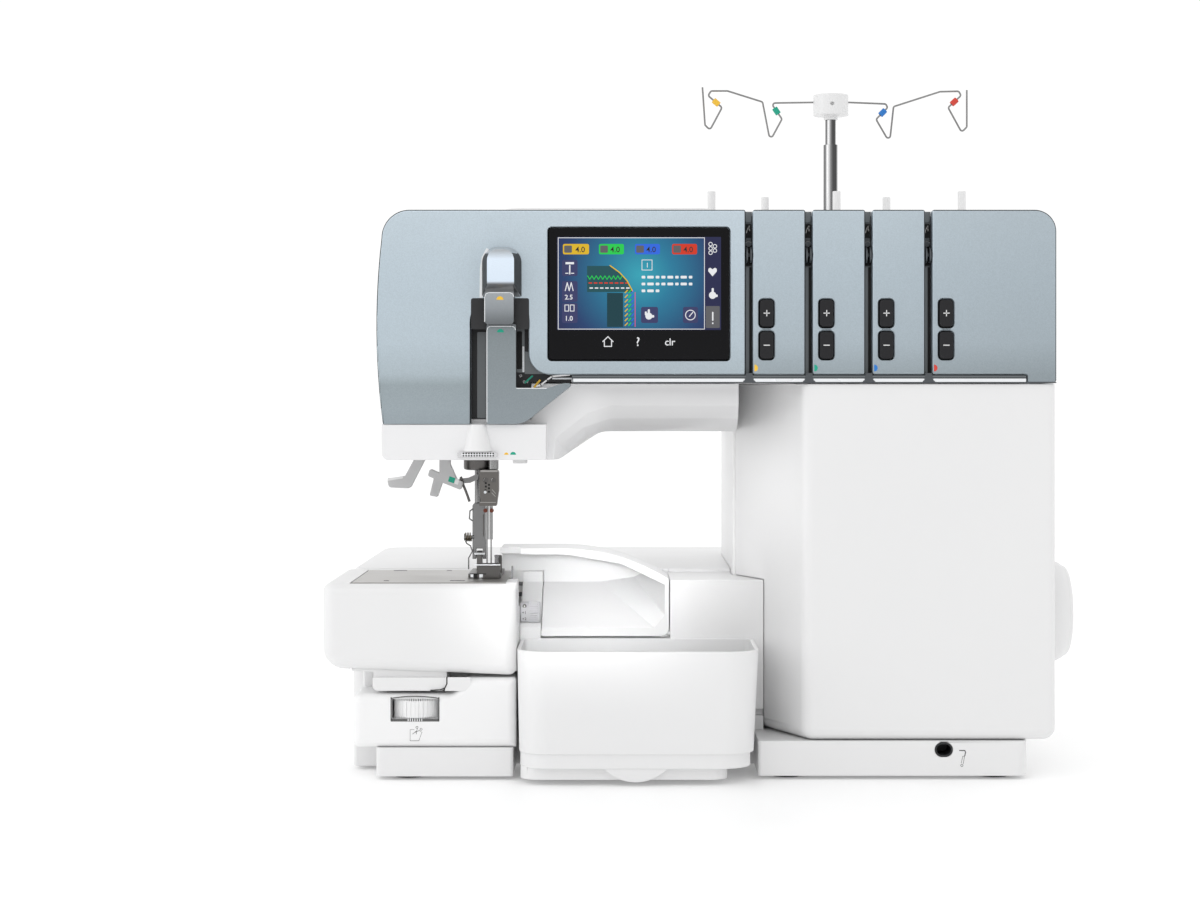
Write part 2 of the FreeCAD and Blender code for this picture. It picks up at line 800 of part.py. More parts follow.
left_base = part("left_base")
pad(
    left_base,
    "XZ",
    [
        [
            (base_left, pan_top, 3),
            (arm_right - 0.2, pan_top),
            (arm_right - 0.2, shoulder_top, 2),
            (lip_right + 12, shoulder_top, 6),
            (lip_right + 3.5, left_base_top, 6),
            (base_left, left_base_top, 4),
        ]
    ],
    front,
    bed_front - seam,
)
blend(left_base, 5, edges(left_base, x=base_left, y=front, along="Z"))
pad(
    left_base,
    "XY",
    [rectangle(base_left + 2, raised_front, arm_right - 0.2, bed_front - 14, 1.5)],
    left_base_top - 1,
    arm_seat,
)
wheel_room = wheel_radius + window_gap
cut(
    left_base,
    "XY",
    [
        [
            (wheel_x - wheel_room, front - 1),
            (wheel_x + wheel_room, front - 1),
            (wheel_x + wheel_room, wheel_y),
            Through(wheel_x, wheel_y + wheel_room),
            (wheel_x - wheel_room, wheel_y),
        ]
    ],
    wheel_low - window_gap,
    wheel_high + window_gap,
)
cut(
    left_base,
    "XY",
    [Circle(wheel_x, wheel_y, wheel_pin + play)],
    wheel_low - window_gap - wheel_pin_long - 0.3,
    wheel_high + window_gap + wheel_pin_long * 0.9,
)

# The cutting width wheel turns about an upright pin and is ribbed all round.
rib_count = 32
cutting_width_wheel = part("cutting_width_wheel", wheel_x, wheel_y, 0)
turn(
    cutting_width_wheel,
    [
        (0, wheel_low - wheel_pin_long),
        (wheel_pin, wheel_low - wheel_pin_long),
        (wheel_pin, wheel_low),
        (wheel_radius, wheel_low, 0.6),
        (wheel_radius, wheel_high, 0.6),
        (wheel_pin, wheel_high),
        (wheel_pin, wheel_high + wheel_pin_long * 0.9),
        (0, wheel_high + wheel_pin_long * 0.9),
    ],
)
rib_half = wheel_radius * (math.pi / rib_count / 2)
notch = cut(
    cutting_width_wheel,
    "XY",
    [
        [
            (wheel_radius - rib_depth, 0),
            (wheel_radius + 0.3, -rib_half),
            (wheel_radius + 0.3, rib_half),
        ]
    ],
    wheel_low + 0.6,
    wheel_high - 0.6,
)
ring_of(cutting_width_wheel, notch, "Z", rib_count)

# ------------------------------------------------------------------ free arm and needle plate
arm_front = front + 4.8
arm_rear = arm_front + arm_deep
pocket_front = needle_y - 24
bin_back = block_front - bin_seat
pocket_back = looper_y + looper_thick * 2 + looper_gap + 0.6

free_arm = part("free_arm")
pad(
    free_arm,
    "XY",
    [
        [
            (arm_left, arm_front, 3),
            (arm_right, arm_front, 1),
            (arm_right, bed_front - seam),
            (arm_leg_left, bed_front - seam),
            (arm_leg_left, arm_rear),
            (arm_left, arm_rear, 3),
        ]
    ],
    arm_seat,
    bed_top,
)
pad(
    free_arm,
    "XZ",
    [
        [
            (lip_left, left_base_top + 1.6, 3),
            (lip_right, left_base_top + 1.6, 4),
            (lip_right, arm_seat + 1),
            (lip_left, arm_seat + 1),
        ]
    ],
    arm_front,
    raised_front - seam,
)
pad(
    free_arm,
    "XZ",
    [
        [
            (lip_left, left_base_top + 1.6, 3),
            (lip_right, left_base_top + 1.6, 4),
            (lip_right, shoulder_top, 1),
            (lip_left, shoulder_top, 1),
        ]
    ],
    front + 1.5,
    arm_front,
)
cut(
    free_arm,
    "XY",
    [rectangle(arm_left - 1, arm_front - 1, plate_right, arm_rear + 1)],
    bed_top - plate_thick,
    bed_top + 1,
)
cut(
    free_arm,
    "XY",
    [rectangle(pocket_left, pocket_front, arm_right - arm_end_wall, pocket_back)],
    pocket_low,
    bed_top + 1,
)
# The end wall stays in front, where it holds the thread dial, and is open behind it.
for start, low in ((pocket_front, bed_top - 16.5), (needle_y + 2.6, pocket_low)):
    cut(
        free_arm,
        "XY",
        [rectangle(arm_right - arm_end_wall - 1, start, arm_right + 1, pocket_back)],
        low,
        bed_top + 1,
    )

feed_x = needle_x - slot_pitch * 1.5
needle_plate = part("needle_plate")
feed_slots = [
    rectangle(
        feed_x + slot_pitch * index,
        needle_y - slot_long / 2,
        feed_x + slot_pitch * index + slot_width,
        needle_y + slot_long / 2,
    )
    for index in (0, 2)
]
pad(
    needle_plate,
    "XY",
    [rectangle(arm_left + 0.4, arm_front + 0.4, plate_right, arm_rear - 0.3)]
    + feed_slots
    + [rectangle(needle_x - 2.2, needle_y - 1.6, needle_x + 1.8, needle_y + 1.6)],
    bed_top - plate_thick,
    bed_top,
)
# The fixed lower knife stands against the plate's right edge.
pad(
    needle_plate,
    "XZ",
    [
        [
            (plate_right + 0.1, pocket_low + 8),
            (plate_right + 0.1 + knife_thick, pocket_low + 8),
            (plate_right + 0.1 + knife_thick, bed_top - 0.2),
            (plate_right + 0.1, bed_top - 0.2),
        ]
    ],
    needle_y - 12,
    needle_y - 3,
)

# Each row of dogs has a front and a rear piece, so that the loopers pass between them.
feed_dogs = part("feed_dogs")
dog_front = needle_y - slot_long / 2 + feed_play + feed_travel
dog_rear = needle_y + slot_long / 2 - feed_play - feed_travel
for index in (0, 2):
    dog_left = feed_x + slot_pitch * index + feed_play
    for start, stop in ((dog_front, needle_y - 3), (needle_y + 8.4, dog_rear)):
        pad(
            feed_dogs,
            "XY",
            [rectangle(dog_left, start, dog_left + slot_width - feed_play * 2, stop)],
            pocket_low + 7,
            bed_top - 0.4,
        )
pad(
    feed_dogs,
    "XY",
    [
        rectangle(
            feed_x + feed_play,
            dog_front,
            feed_x + slot_pitch * 2 + slot_width - feed_play,
            dog_rear,
        )
    ],
    pocket_low + 0.3,
    pocket_low + 8,
)

# ------------------------------------------------------------------ extension table
table_right = arm_right + 0.4
table_rear = bed_front - seam
extension_table = part("extension_table")
pad(
    extension_table,
    "XZ",
    [
        [
            (table_left, table_low_left, table_corner),
            (table_right, table_low_right, 4.5),
            (table_right, bed_top, 2),
            (table_left, bed_top, 5),
        ]
    ],
    front,
    table_rear,
)
blend(extension_table, 7, edges(extension_table, x=table_left, along="Z"))
# The free arm and the room that it needs come out of the block, open below and to the right.
cut(
    extension_table,
    "XY",
    [
        [
            (arm_left - air, front + table_wall),
            (table_right + 1, front + table_wall),
            (table_right + 1, table_rear + 1),
            (arm_leg_left - air, table_rear + 1),
            (arm_leg_left - air, arm_rear + air),
            (arm_left - air, arm_rear + air),
        ]
    ],
    table_low_right - 1,
    bed_top + 1,
)

# ------------------------------------------------------------------ housing right of the free arm
# Below the looper cover lies the open looper bay; the block right of it meets the column.
hinge_lug_right = notch_right - 0.4
front_housing = part("front_housing")
pad(
    front_housing,
    "XY",
    [
        [
            (looper_right + 0.5, block_front, 0.8),
            (block_right, block_front),
            (block_right, column_seam - seam),
            (column_left - seam, column_seam - seam),
            (column_left - seam, bed_front - seam),
            (looper_right + 0.5, bed_front - seam),
        ]
    ],
    deck_top,
    block_top,
)
pad(
    front_housing,
    "XY",
    [rectangle(arm_right + 0.1, block_front, looper_right + 1, bed_front - seam)],
    deck_top,
    bay_floor,
)
pad(
    front_housing,
    "XY",
    [rectangle(arm_right + 0.1, bed_front - seam - wall, looper_right + 1, bed_front - seam)],
    bay_floor - 1,
    bed_top,
)
# The fixed wedge behind the thread dial carries on the dish's slope to the left.
pad(
    front_housing,
    "YZ",
    [
        [
            (block_front, bay_floor - 1),
            (block_front, lip_height, 1),
            (dish_back, dish_top),
            (dish_back, notch_top - air),
            (cover_rear - 1, notch_top - air),
            (cover_rear - 1, bay_floor - 1),
        ]
    ],
    arm_right + 0.1,
    hinge_lug_right,
)
cut(
    front_housing,
    "YZ",
    [Circle(dial_y, dial_z, dial_radius + air)],
    arm_right,
    hinge_lug_right + 0.1,
)
# The housing closes the looper cover's rounded lower corner, just behind its knuckle.
corner_x = looper_right - cover_corner
corner_z = cover_low_edge + cover_corner
corner_far = cover_corner + air
pad(
    front_housing,
    "XZ",
    [
        [
            (corner_x, bay_floor - 0.2),
            (looper_right + 0.6, bay_floor - 0.2),
            (looper_right + 0.6, corner_z),
            (corner_x + corner_far, corner_z),
            Through(corner_x + corner_far * 0.7071, corner_z - corner_far * 0.7071),
            (corner_x, corner_z - corner_far),
        ]
    ],
    hinge_y * 2 - block_front + air,
    hinge_y + 8,
)
cut(
    front_housing,
    "XZ",
    [rectangle(arm_right, rail_low, block_right + 1, rail_high)],
    block_front - 1,
    block_front + rail_deep,
)
# The looper cover turns on a pin of the housing at its left and on its own pin at its right.
pad(
    front_housing,
    "YZ",
    [Circle(hinge_y, hinge_z, hinge_pin)],
    hinge_lug_right - 1,
    notch_right + hinge_pin_long,
)
cut(
    front_housing,
    "YZ",
    [Circle(hinge_y, hinge_z, hinge_pin + play)],
    corner_x + 1,
    looper_right + 0.5 + hinge_pin_long + 0.3,
)

# ------------------------------------------------------------------ looper cover
# A scooped shell: the dish guides trimmings down into the bin, the ridge keeps fabric out.
ridge_right_z = block_top + 0.6
ridge_mid_x = (looper_right + ridge_flat) / 2 + 3
ridge_mid_z = (ridge_top + ridge_right_z) / 2 + 3.6
looper_cover = part("looper_cover")
pad(
    looper_cover,
    "XZ",
    [
        [
            (notch_right, cover_low_edge, 0.8),
            (looper_right, cover_low_edge, cover_corner),
            (looper_right, ridge_right_z),
            Through(ridge_mid_x, ridge_mid_z),
            (ridge_flat, ridge_top),
            (ridge_left, ridge_top, 1.5),
            (ridge_left, notch_top, 1.5),
            (notch_right, notch_top),
        ]
    ],
    block_front + 0.2,
    cover_rear,
)
loft(
    looper_cover,
    "XZ",
    [
        (
            block_front + 0.1,
            [
                (ridge_left - 1, lip_height),
                (crease_front, lip_height),
                (looper_right - 2.4, lip_height + 7),
                (looper_right - 2.4, ridge_right_z - 3.4),
                (ridge_mid_x - 1, ridge_mid_z - ridge_thick),
                (ridge_flat, ridge_top - ridge_thick),
                (ridge_left - 1, ridge_top - ridge_thick),
            ],
        ),
        (
            dish_back,
            [
                (ridge_left - 1, dish_top),
                (crease_back, dish_top),
                (looper_right - 20, dish_top + 3),
                (looper_right - 13, ridge_right_z + 2),
                (ridge_mid_x - 3, ridge_mid_z - ridge_thick - 1),
                (ridge_flat, ridge_top - ridge_thick - 1),
                (ridge_left - 1, ridge_top - ridge_thick - 1),
            ],
        ),
    ],
    "SubtractiveLoft",
    ruled=True,
)
cut(
    looper_cover,
    "YZ",
    [
        [
            (hinge_y + 8, cover_low_edge - 1),
            (hinge_y + 8, lip_height - 1.4),
            (cover_rear - 4, dish_top - cover_skin - 1.4),
            (cover_rear + 1, dish_top - cover_skin - 1.4),
            (cover_rear + 1, cover_low_edge - 1),
        ]
    ],
    notch_right + 2.4,
    looper_right - 3,
)
# Over the free arm the rim stands back, so that the open cover clears the arm.
cut(
    looper_cover,
    "XY",
    [rectangle(ridge_left - 1, block_front - 1, arm_right + air, block_front + ridge_setback)],
    notch_top - 1,
    ridge_top + 1,
)
cut(
    looper_cover,
    "YZ",
    [Circle(hinge_y, hinge_z, hinge_pin + play)],
    notch_right - 0.1,
    notch_right + hinge_pin_long + 0.3,
)
pad(
    looper_cover,
    "YZ",
    [Circle(hinge_y, hinge_z, hinge_pin)],
    looper_right - 1,
    looper_right + hinge_pin_long,
)

# ------------------------------------------------------------------ micro thread dial
dial_left = arm_right + 0.3
cut(
    free_arm,
    "YZ",
    [Circle(dial_y, dial_z, dial_pin + play)],
    arm_right - arm_end_wall - 1,
    arm_right + 1,
)
micro_dial = part("micro_dial", 0, dial_y, dial_z)
turn(
    micro_dial,
    [
        (dial_left - dial_pin_long, 0),
        (dial_left - dial_pin_long, dial_pin),
        (dial_left, dial_pin),
        (dial_left, dial_radius, 0.4),
        (dial_right, dial_radius, 0.4),
        (dial_right, 0),
    ],
    "H_Axis",
)
dial_rib = cut(
    micro_dial,
    "YZ",
    [[(dial_radius - 0.4, 0), (dial_radius + 0.3, -0.45), (dial_radius + 0.3, 0.45)]],
    dial_right - 5.4,
    dial_right - 0.4,
)
ring_of(micro_dial, dial_rib, "X", 24)

# ------------------------------------------------------------------ column housing
column_housing = part("column_housing")
pad(
    column_housing,
    "XY",
    [
        [
            (column_left, column_seam),
            (chamfer_right + 4, column_seam),
            (chamfer_right + 4, front + 35),
            (column_right, front + 35),
            (column_right, column_back, 10),
            (column_left, column_back, 6),
        ]
    ],
    deck_top,
    panel_low,
)
pad(
    column_housing,
    "XZ",
    [
        [
            (column_left, panel_low),
            (column_right, panel_low),
            (column_right, body_top, column_corner),
            (column_left, body_top),
        ]
    ],
    core_front,
    arm_back,
)
pad(
    column_housing,
    "XZ",
    [rectangle(column_left, panel_low, column_right, platform_top - platform_thick)],
    arm_back - 1,
    column_back,
)
cut(
    column_housing,
    "XZ",
    [rectangle(chamfer_right + 8, deck_top + wall, column_right - wall, panel_low - wall)],
    front + 34,
    column_back - wall,
)
cut(
    column_housing,
    "XZ",
    [rectangle(column_left + wall, deck_top + wall, chamfer_right + 9, panel_low - wall)],
    column_seam - 1,
    column_back - wall,
)
cut(
    column_housing,
    "YZ",
    [Circle(shaft_y, shaft_z, shaft_radius + play)],
    column_right - wall - 1,
    column_right + 1,
)
blend(
    column_housing,
    roof_round,
    edges(column_housing, y=arm_back, z=body_top),
)

# ------------------------------------------------------------------ white cover over the column
right_front_cover = part("right_front_cover")
cover_depth = front + 35 - seam
pad(
    right_front_cover,
    "XY",
    [
        [
            (column_left + 1.3, column_seam - seam),
            (block_right + 0.1, block_front + 1.3),
            (chamfer_right, front + 1, 8),
            (column_right, front + 1, 4),
            (column_right, cover_depth),
            (chamfer_right + 4 - seam, cover_depth),
            (chamfer_right + 4 - seam, column_seam - seam),
        ]
    ],
    deck_top + seam,
    panel_low - 0.2,
)
cut(
    right_front_cover,
    "XY",
    [
        [
            (column_left + 1.3 + cover_wall, column_seam + 1),
            (block_right + 0.1 + cover_wall, block_front + 1.3 + 0.6),
            (chamfer_right + 1.2, front + 1 + cover_wall),
            (column_right - cover_wall, front + 1 + cover_wall),
            (column_right - cover_wall, cover_depth + 1),
            (chamfer_right + 4.5, cover_depth + 1),
            (chamfer_right + 4.5, column_seam + 1),
        ]
    ],
    deck_top + seam + cover_wall,
    panel_low - 0.2 - cover_wall,
)
cut(
    right_front_cover,
    "XY",
    [rectangle(column_left - 1, block_front - seam, block_right + seam, column_seam + 1)],
    deck_top,
    block_top + seam,
)
blend(
    right_front_cover,
    7,
    edges(
        right_front_cover,
        x=column_right,
        z=deck_top + seam,
        test=lambda edge: edge.BoundBox.YMax < float(cover_depth) + 1,
    ),
)

# ------------------------------------------------------------------ arm and head housing
arm_front_low = head_back + seam
arm_housing = part("arm_housing")
silhouette = [
    (head_left, head_low, 4),
    (slant_left + 3, head_low, 8),
    (slant_right, arm_low, 12),
    (seam_x, arm_low),
]
pad(
    arm_housing,
    "XZ",
    [silhouette + [(seam_x, body_top), (head_left, body_top, arm_corner)]],
    arm_front_low,
    arm_back,
)
pad(
    arm_housing,
    "XZ",
    [
        [
            (head_left, panel_low + 0.4),
            (seam_x, panel_low + 0.4),
            (seam_x, body_top),
            (head_left, body_top, arm_corner),
        ]
    ],
    core_front,
    arm_front_low + 1,
)
blend(
    arm_housing,
    roof_round,
    edges(arm_housing, y=arm_back, z=body_top) + edges(arm_housing, x=head_left, y=arm_back),
)

# ------------------------------------------------------------------ white front of the head
# A cove runs from under the metallic cover back and down to the underside of the arm.
head_cover = part("head_cover")
cover_front = front + 0.5
pad(
    head_cover,
    "XZ",
    [silhouette + [(seam_x, panel_low - 0.2), (head_left, panel_low - 0.2)]],
    front + panel_thick + 0.3,
    head_back,
)
pad(
    head_cover,
    "XZ",
    [
        [
            (head_left, head_low, 4),
            (slant_left - 4, head_low),
            (slant_left - 4, cover_low - 0.2),
            (head_left, cover_low - 0.2),
        ]
    ],
    cover_front,
    front + panel_thick + 1,
)
cove_front = [
    (slant_left - 4, head_low - 3),
    (slant_left - 4, cover_low + 0.5),
    (slant_right - 6, panel_low - 4.5),
    (slant_right + 6, panel_low - 0.3),
    (seam_x + 1, panel_low - 0.3),
    (seam_x + 1, head_low - 3),
]
cove_back = [
    (slant_left + 4.5, head_low - 3),
    (slant_left + 7.5, head_low + 2.2),
    (slant_right - 9, arm_low - 4.6),
    (slant_right + 6, arm_low - 0.1),
    (seam_x + 1, arm_low - 0.1),
    (seam_x + 1, head_low - 3),
]


def between(share):
    """The cove's outline on the way from its front edge to its back edge."""
    return [
        (a[0] + (b[0] - a[0]) * share, a[1] + (b[1] - a[1]) * share)
        for a, b in zip(cove_front, cove_back)
    ]


loft(
    head_cover,
    "XZ",
    [
        (cover_front - 0.5, between(as_size(0))),
        (front + 15, between(cove_mid)),
        (front + 28, between(as_size(0.93))),
        (head_back + 0.5, between(as_size(1))),
    ],
    "SubtractiveLoft",
    ruled=True,
)

# ------------------------------------------------------------------ metallic front covers
panel_back = front + panel_thick
channel_back = panel_back + 0.3
left_front_panel = part("left_front_panel")
corner_bend = arm_corner * (1 - math.sqrt(0.5))
pad(
    left_front_panel,
    "XZ",
    [
        [
            (head_left + 0.7, cover_low),
            (channel_left, cover_low),
            (channel_left, channel_top, 14),
            (channel_right, channel_top, 14),
            (channel_right, groove_top, channel_bend),
            (slot_first, groove_top),
            (slot_first, body_top),
            (head_left + arm_corner, body_top),
            Through(head_left + corner_bend, body_top - corner_bend),
            (head_left, body_top - arm_corner),
            Through(head_left - bow, bow_z),
        ]
    ],
    front,
    panel_back,
)
blend(
    left_front_panel,
    edge_round,
    edges(left_front_panel, y=front, z=body_top)
    + edges(
        left_front_panel,
        y=front,
        test=lambda edge: edge.BoundBox.XMax < float(head_left + arm_corner) + 0.1,
    ),
)
cut(
    left_front_panel,
    "XZ",
    [rectangle(screen_left - air, screen_low - air, screen_right + air, screen_high + air, 2)],
    front - 1,
    front + screen_thick - 0.4,
)

screen_glass = part("screen_glass")
pad(
    screen_glass,
    "XZ",
    [rectangle(screen_left, screen_low, screen_right, screen_high, 1.6)],
    front - 0.4,
    front + screen_thick - 0.4,
)

# Three strips stand between the four tension slots; the column's own panel is the last.
strip_starts = [slot_first + slot_wide + tension_pitch * index for index in range(tension_count)]
tension_panels = part("tension_panels")
for index, start in enumerate(strip_starts[:-1]):
    button_left = start + button_offset
    windows = [
        rectangle(
            button_left - seam, low - seam, button_left + button_width + seam, high + seam, button_round
        )
        for low, high in ((plus_low, plus_high), (minus_low, minus_high))
    ]
    pad(
        tension_panels,
        "XZ",
        [rectangle(start, groove_top, start + tension_pitch - slot_wide, body_top)] + windows,
        front,
        panel_back,
    )
last_start = strip_starts[-1]
last_button = last_start + button_offset
pad(
    tension_panels,
    "XZ",
    [
        [
            (last_start, groove_top),
            (strip_right, groove_top),
            (strip_right, panel_low),
            (column_right + 0.2, panel_low, 2),
            (column_right + 0.2, body_top, column_corner),
            (last_start, body_top),
        ],
        rectangle(
            last_button - seam,
            plus_low - seam,
            last_button + button_width + seam,
            plus_high + seam,
            button_round,
        ),
        rectangle(
            last_button - seam,
            minus_low - seam,
            last_button + button_width + seam,
            minus_high + seam,
            button_round,
        ),
    ],
    front,
    panel_back,
)

for kind, low, high in (("plus", plus_low, plus_high), ("minus", minus_low, minus_high)):
    for index, start in enumerate(strip_starts):
        button = part("%s_button_%d" % (kind, index + 1), start + button_offset, 0, low)
        pad(
            button,
            "XZ",
            [rectangle(0, 0, button_width, high - low, button_round - 0.2)],
            front - button_proud,
            panel_back - 1.2,
        )
        blend(button, 0.6, edges(button, y=front - button_proud))

# The head cover makes room behind the thread channel's dark floor.
cut(
    head_cover,
    "XZ",
    [rectangle(channel_left - 2, cover_low + 2.6, guard_right + 8, panel_low + 1)],
    panel_back,
    core_front + 0.3,
)
# The dark floor of the thread channel and of the slots closes the gap behind the covers.
thread_channel = part("thread_channel")
pad(
    thread_channel,
    "XZ",
    [
        [
            (channel_left - 1.7, cover_low + 3),
            (guard_right + 7.7, cover_low + 3),
            (guard_right + 7.7, panel_low + 0.5),
            (strip_right + 8, panel_low + 0.5),
            (strip_right + 8, body_top - 3),
            (channel_left - 1.7, body_top - 3),
        ]
    ],
    channel_back,
    core_front - seam,
)

# Thread guides: a bright strip along the groove and a pair of discs in every slot.
thread_guides = part("thread_guides")
pad(
    thread_guides,
    "XZ",
    [rectangle(strip_left, panel_low + 0.5, strip_right - 0.5, panel_low + 2.4)],
    front + 3.5,
    channel_back,
)
disc_y = front + disc_radius
for index in range(tension_count):
    middle = slot_first + tension_pitch * index + slot_wide / 2
    for side in (-1, 1):
        gap = disc_thick * 0.6 * side
        inner, outer = middle + gap, middle + gap + disc_thick * side
        low, high = (inner, outer) if side > 0 else (outer, inner)
        pad(thread_guides, "YZ", [Circle(disc_y, disc_z, disc_radius)], low, high)
    pad(
        thread_guides,
        "YZ",
        [Circle(disc_y, disc_z, disc_radius / 4)],
        middle - slot_wide / 2,
        middle + slot_wide / 2,
    )
plate_left = funnel_x - funnel_wide / 2 - 3
pad(
    thread_guides,
    "XZ",
    [rectangle(plate_left, guide_plate_low, plate_left + funnel_wide + 6, funnel_low - 0.3, 1)],
    cover_front - 3,
    cover_front,
)

# ------------------------------------------------------------------ thread guards over the channel
thread_hoods = part("thread_hoods")
loft(
    thread_hoods,
    "XZ",
    [
        (
            front - arch_deep,
            [
                (arch_left + 3.4, tier_top + 4.5, 1),
                (arch_right - 3.6, tier_top + 4.5, 1),
                (arch_right - 3.6, arch_top - 2, 6),
                (arch_left + 3.4, arch_top - 2, 6),
            ],
        ),
        (
            front,
            [
                (arch_left, tier_top - 2, 1),
                (arch_right, tier_top - 2, 1),
                (arch_right, arch_top, 9),
                (arch_left, arch_top, 9),
            ],
        ),
    ],
    ruled=True,
)
pad(
    thread_hoods,
    "XZ",
    [rectangle(guard_left - 0.6, guard_top + 0.6, guard_right - 1, tier_top + 4, 2)],
    front - tier_deep,
    front,
)
cut(
    thread_hoods,
    "XZ",
    [rectangle(arch_left + 5, guard_top - 1, arch_right - 5.2, arch_top - 6, 3)],
    front - tier_deep + 1.5,
    front + 2,
)
guard_front = front - 2.4
pad(
    thread_hoods,
    "XZ",
    [
        [
            (guard_left, cover_low, 1),
            (guard_foot, cover_low, 14),
            (guard_tip, panel_low, 1.2),
            (guard_tip - 6, panel_low),
            (guard_tip - 15, panel_low - 2.7, 4),
            (guard_right, panel_low - 2.7, 1),
            (guard_right, guard_top + 1, 1),
            (guard_left, guard_top + 1, 1),
        ]
    ],
    guard_front,
    front + 2,
)

# ------------------------------------------------------------------ funnel and lamp of the head
thread_funnel = part("thread_funnel")


def half_round(radius):
    """Half a disc that stands out forward from the head's front face."""
    return [
        (funnel_x - radius, cover_front),
        (funnel_x + radius, cover_front),
        Through(funnel_x, cover_front - radius * 0.8),
    ]


loft(
    thread_funnel,
    "XY",
    [(funnel_low, half_round(funnel_wide / 2)), (cover_low - 0.2, half_round(funnel_narrow / 2))],
)
work_lamp = part("work_lamp")
pad(
    work_lamp,
    "XY",
    [rectangle(lamp_left, head_back - 17, lamp_right, head_back - 4, 1.5)],
    head_low - lamp_thick,
    head_low,
)

# ------------------------------------------------------------------ needle bar and needles
bar_x = clamp_x + 2.3
cut(
    arm_housing,
    "XY",
    [Circle(bar_x, needle_y, needle_bar_radius + play)],
    head_low - 1,
    bar_top + clamp_room + 1,
)
clamp_half = clamp_wide / 2
cut(
    arm_housing,
    "XY",
    [
        rectangle(
            clamp_x - clamp_half - air, needle_y - 5.4, clamp_x + clamp_half + air, needle_y + 5.4, 1
        )
    ],
    head_low - 1,
    clamp_high + clamp_room + 0.6,
)
needle_bar = part("needle_bar", bar_x, needle_y, 0)
pad(needle_bar, "XY", [Circle(0, 0, needle_bar_radius)], clamp_high, bar_top)

needle_clamp = part("needle_clamp")
pad(
    needle_clamp,
    "XZ",
    [
        [
            (clamp_x - clamp_half + 1.2, clamp_low, 1),
            (clamp_x + clamp_half - 1.2, clamp_low, 1),
            (clamp_x + clamp_half, clamp_low + 9),
            (clamp_x + clamp_half, clamp_high, 2),
            (clamp_x - clamp_half, clamp_high, 2),
            (clamp_x - clamp_half, clamp_low + 9),
        ],
        Circle(clamp_x - 2.2, clamp_high - 6, 1),
        Circle(clamp_x + 2.2, clamp_high - 6, 1),
    ],
    needle_y - 4.6,
    needle_y + 4.6,
)

needle_places = (needle_x - needle_gap / 2, needle_x + needle_gap / 2)
needle_point = [(needle_tip, needle_thick * 0.3), (needle_tip + 4, needle_thick)]
needles = part("needles")
for place in needle_places:
    loft(
        needles,
        "XY",
        [(level, Circle(place, needle_y, radius)) for level, radius in needle_point],
    )
    pad(needles, "XY", [Circle(place, needle_y, needle_thick)], needle_tip + 4, needle_tip + 20)
    pad(needles, "XY", [Circle(place, needle_y, needle_shank)], needle_tip + 20, clamp_low)

# ------------------------------------------------------------------ presser bar and foot
boss_low = head_low - bush_long
pad(
    arm_housing,
    "XY",
    [Circle(presser_x, presser_y, bush_radius)],
    boss_low,
    head_low + 1,
)
cut(
    arm_housing,
    "XY",
    [Circle(presser_x, presser_y, presser_radius + play)],
    boss_low - 1,
    bar_top + lift_high + 2,
)
presser_bar = part("presser_bar", presser_x, presser_y, 0)
pad(presser_bar, "XY", [Circle(0, 0, presser_radius)], shank_high - 2, bar_top)
half_shank = shank_wide / 2
pad(
    presser_bar,
    "XZ",
    [
        [
            (-half_shank, shank_low + 6, 2),
            (half_shank, shank_low + 6, 2),
            (half_shank, shank_high, 2),
            (-half_shank, shank_high, 2),
        ]
    ],
    -half_shank,
    half_shank,
)
for side in (-1, 1):
    near, far = (fork_gap * side, half_shank * side)
    left, right = (near, far) if side > 0 else (far, near)
    pad(
        presser_bar,
        "XZ",
        [rectangle(left, shank_low, right, shank_low + 8)],
        -half_shank,
        half_shank,
    )

# The foot tilts about a pin held in the shank's fork.
foot_pin_z = shank_low + foot_pin * 2
for side in (-1, 1):
    cut(
        presser_bar,
        "YZ",
        [Circle(0, foot_pin_z, foot_pin + play)],
        -half_shank - 1 if side < 0 else as_size(fork_gap - 0.1),
        as_size(0.1 - fork_gap) if side < 0 else half_shank + 1,
    )
sole_low = bed_top + sole_gap
presser_foot = part("presser_foot", presser_x, presser_y, foot_pin_z)
left_edge, right_edge = foot_left - presser_x, foot_right - presser_x
front_edge, rear_edge = foot_front - presser_y, foot_rear - presser_y
low_edge = sole_low - foot_pin_z
opening_x = needle_x - presser_x
opening_y = needle_y - presser_y
pad(
    presser_foot,
    "XY",
    [
        [
            (left_edge, front_edge + 4, 2),
            (left_edge + 5, front_edge, 2),
            (right_edge, front_edge, 1),
            (right_edge, rear_edge, 1),
            (left_edge, rear_edge, 1),
        ],
        rectangle(opening_x - 3, opening_y - 2.4, opening_x + 3, opening_y + 2.4, 1),
    ],
    low_edge,
    low_edge + foot_sole,
)
# The heel is relieved below, so that the toe can rise over thick seams.
cut(
    presser_foot,
    "YZ",
    [
        [
            (1, low_edge),
            (rear_edge + 1, low_edge + heel_relief),
            (rear_edge + 1, low_edge - 1),
            (1, low_edge - 1),
        ]
    ],
    left_edge - 1,
    right_edge + 1,
)
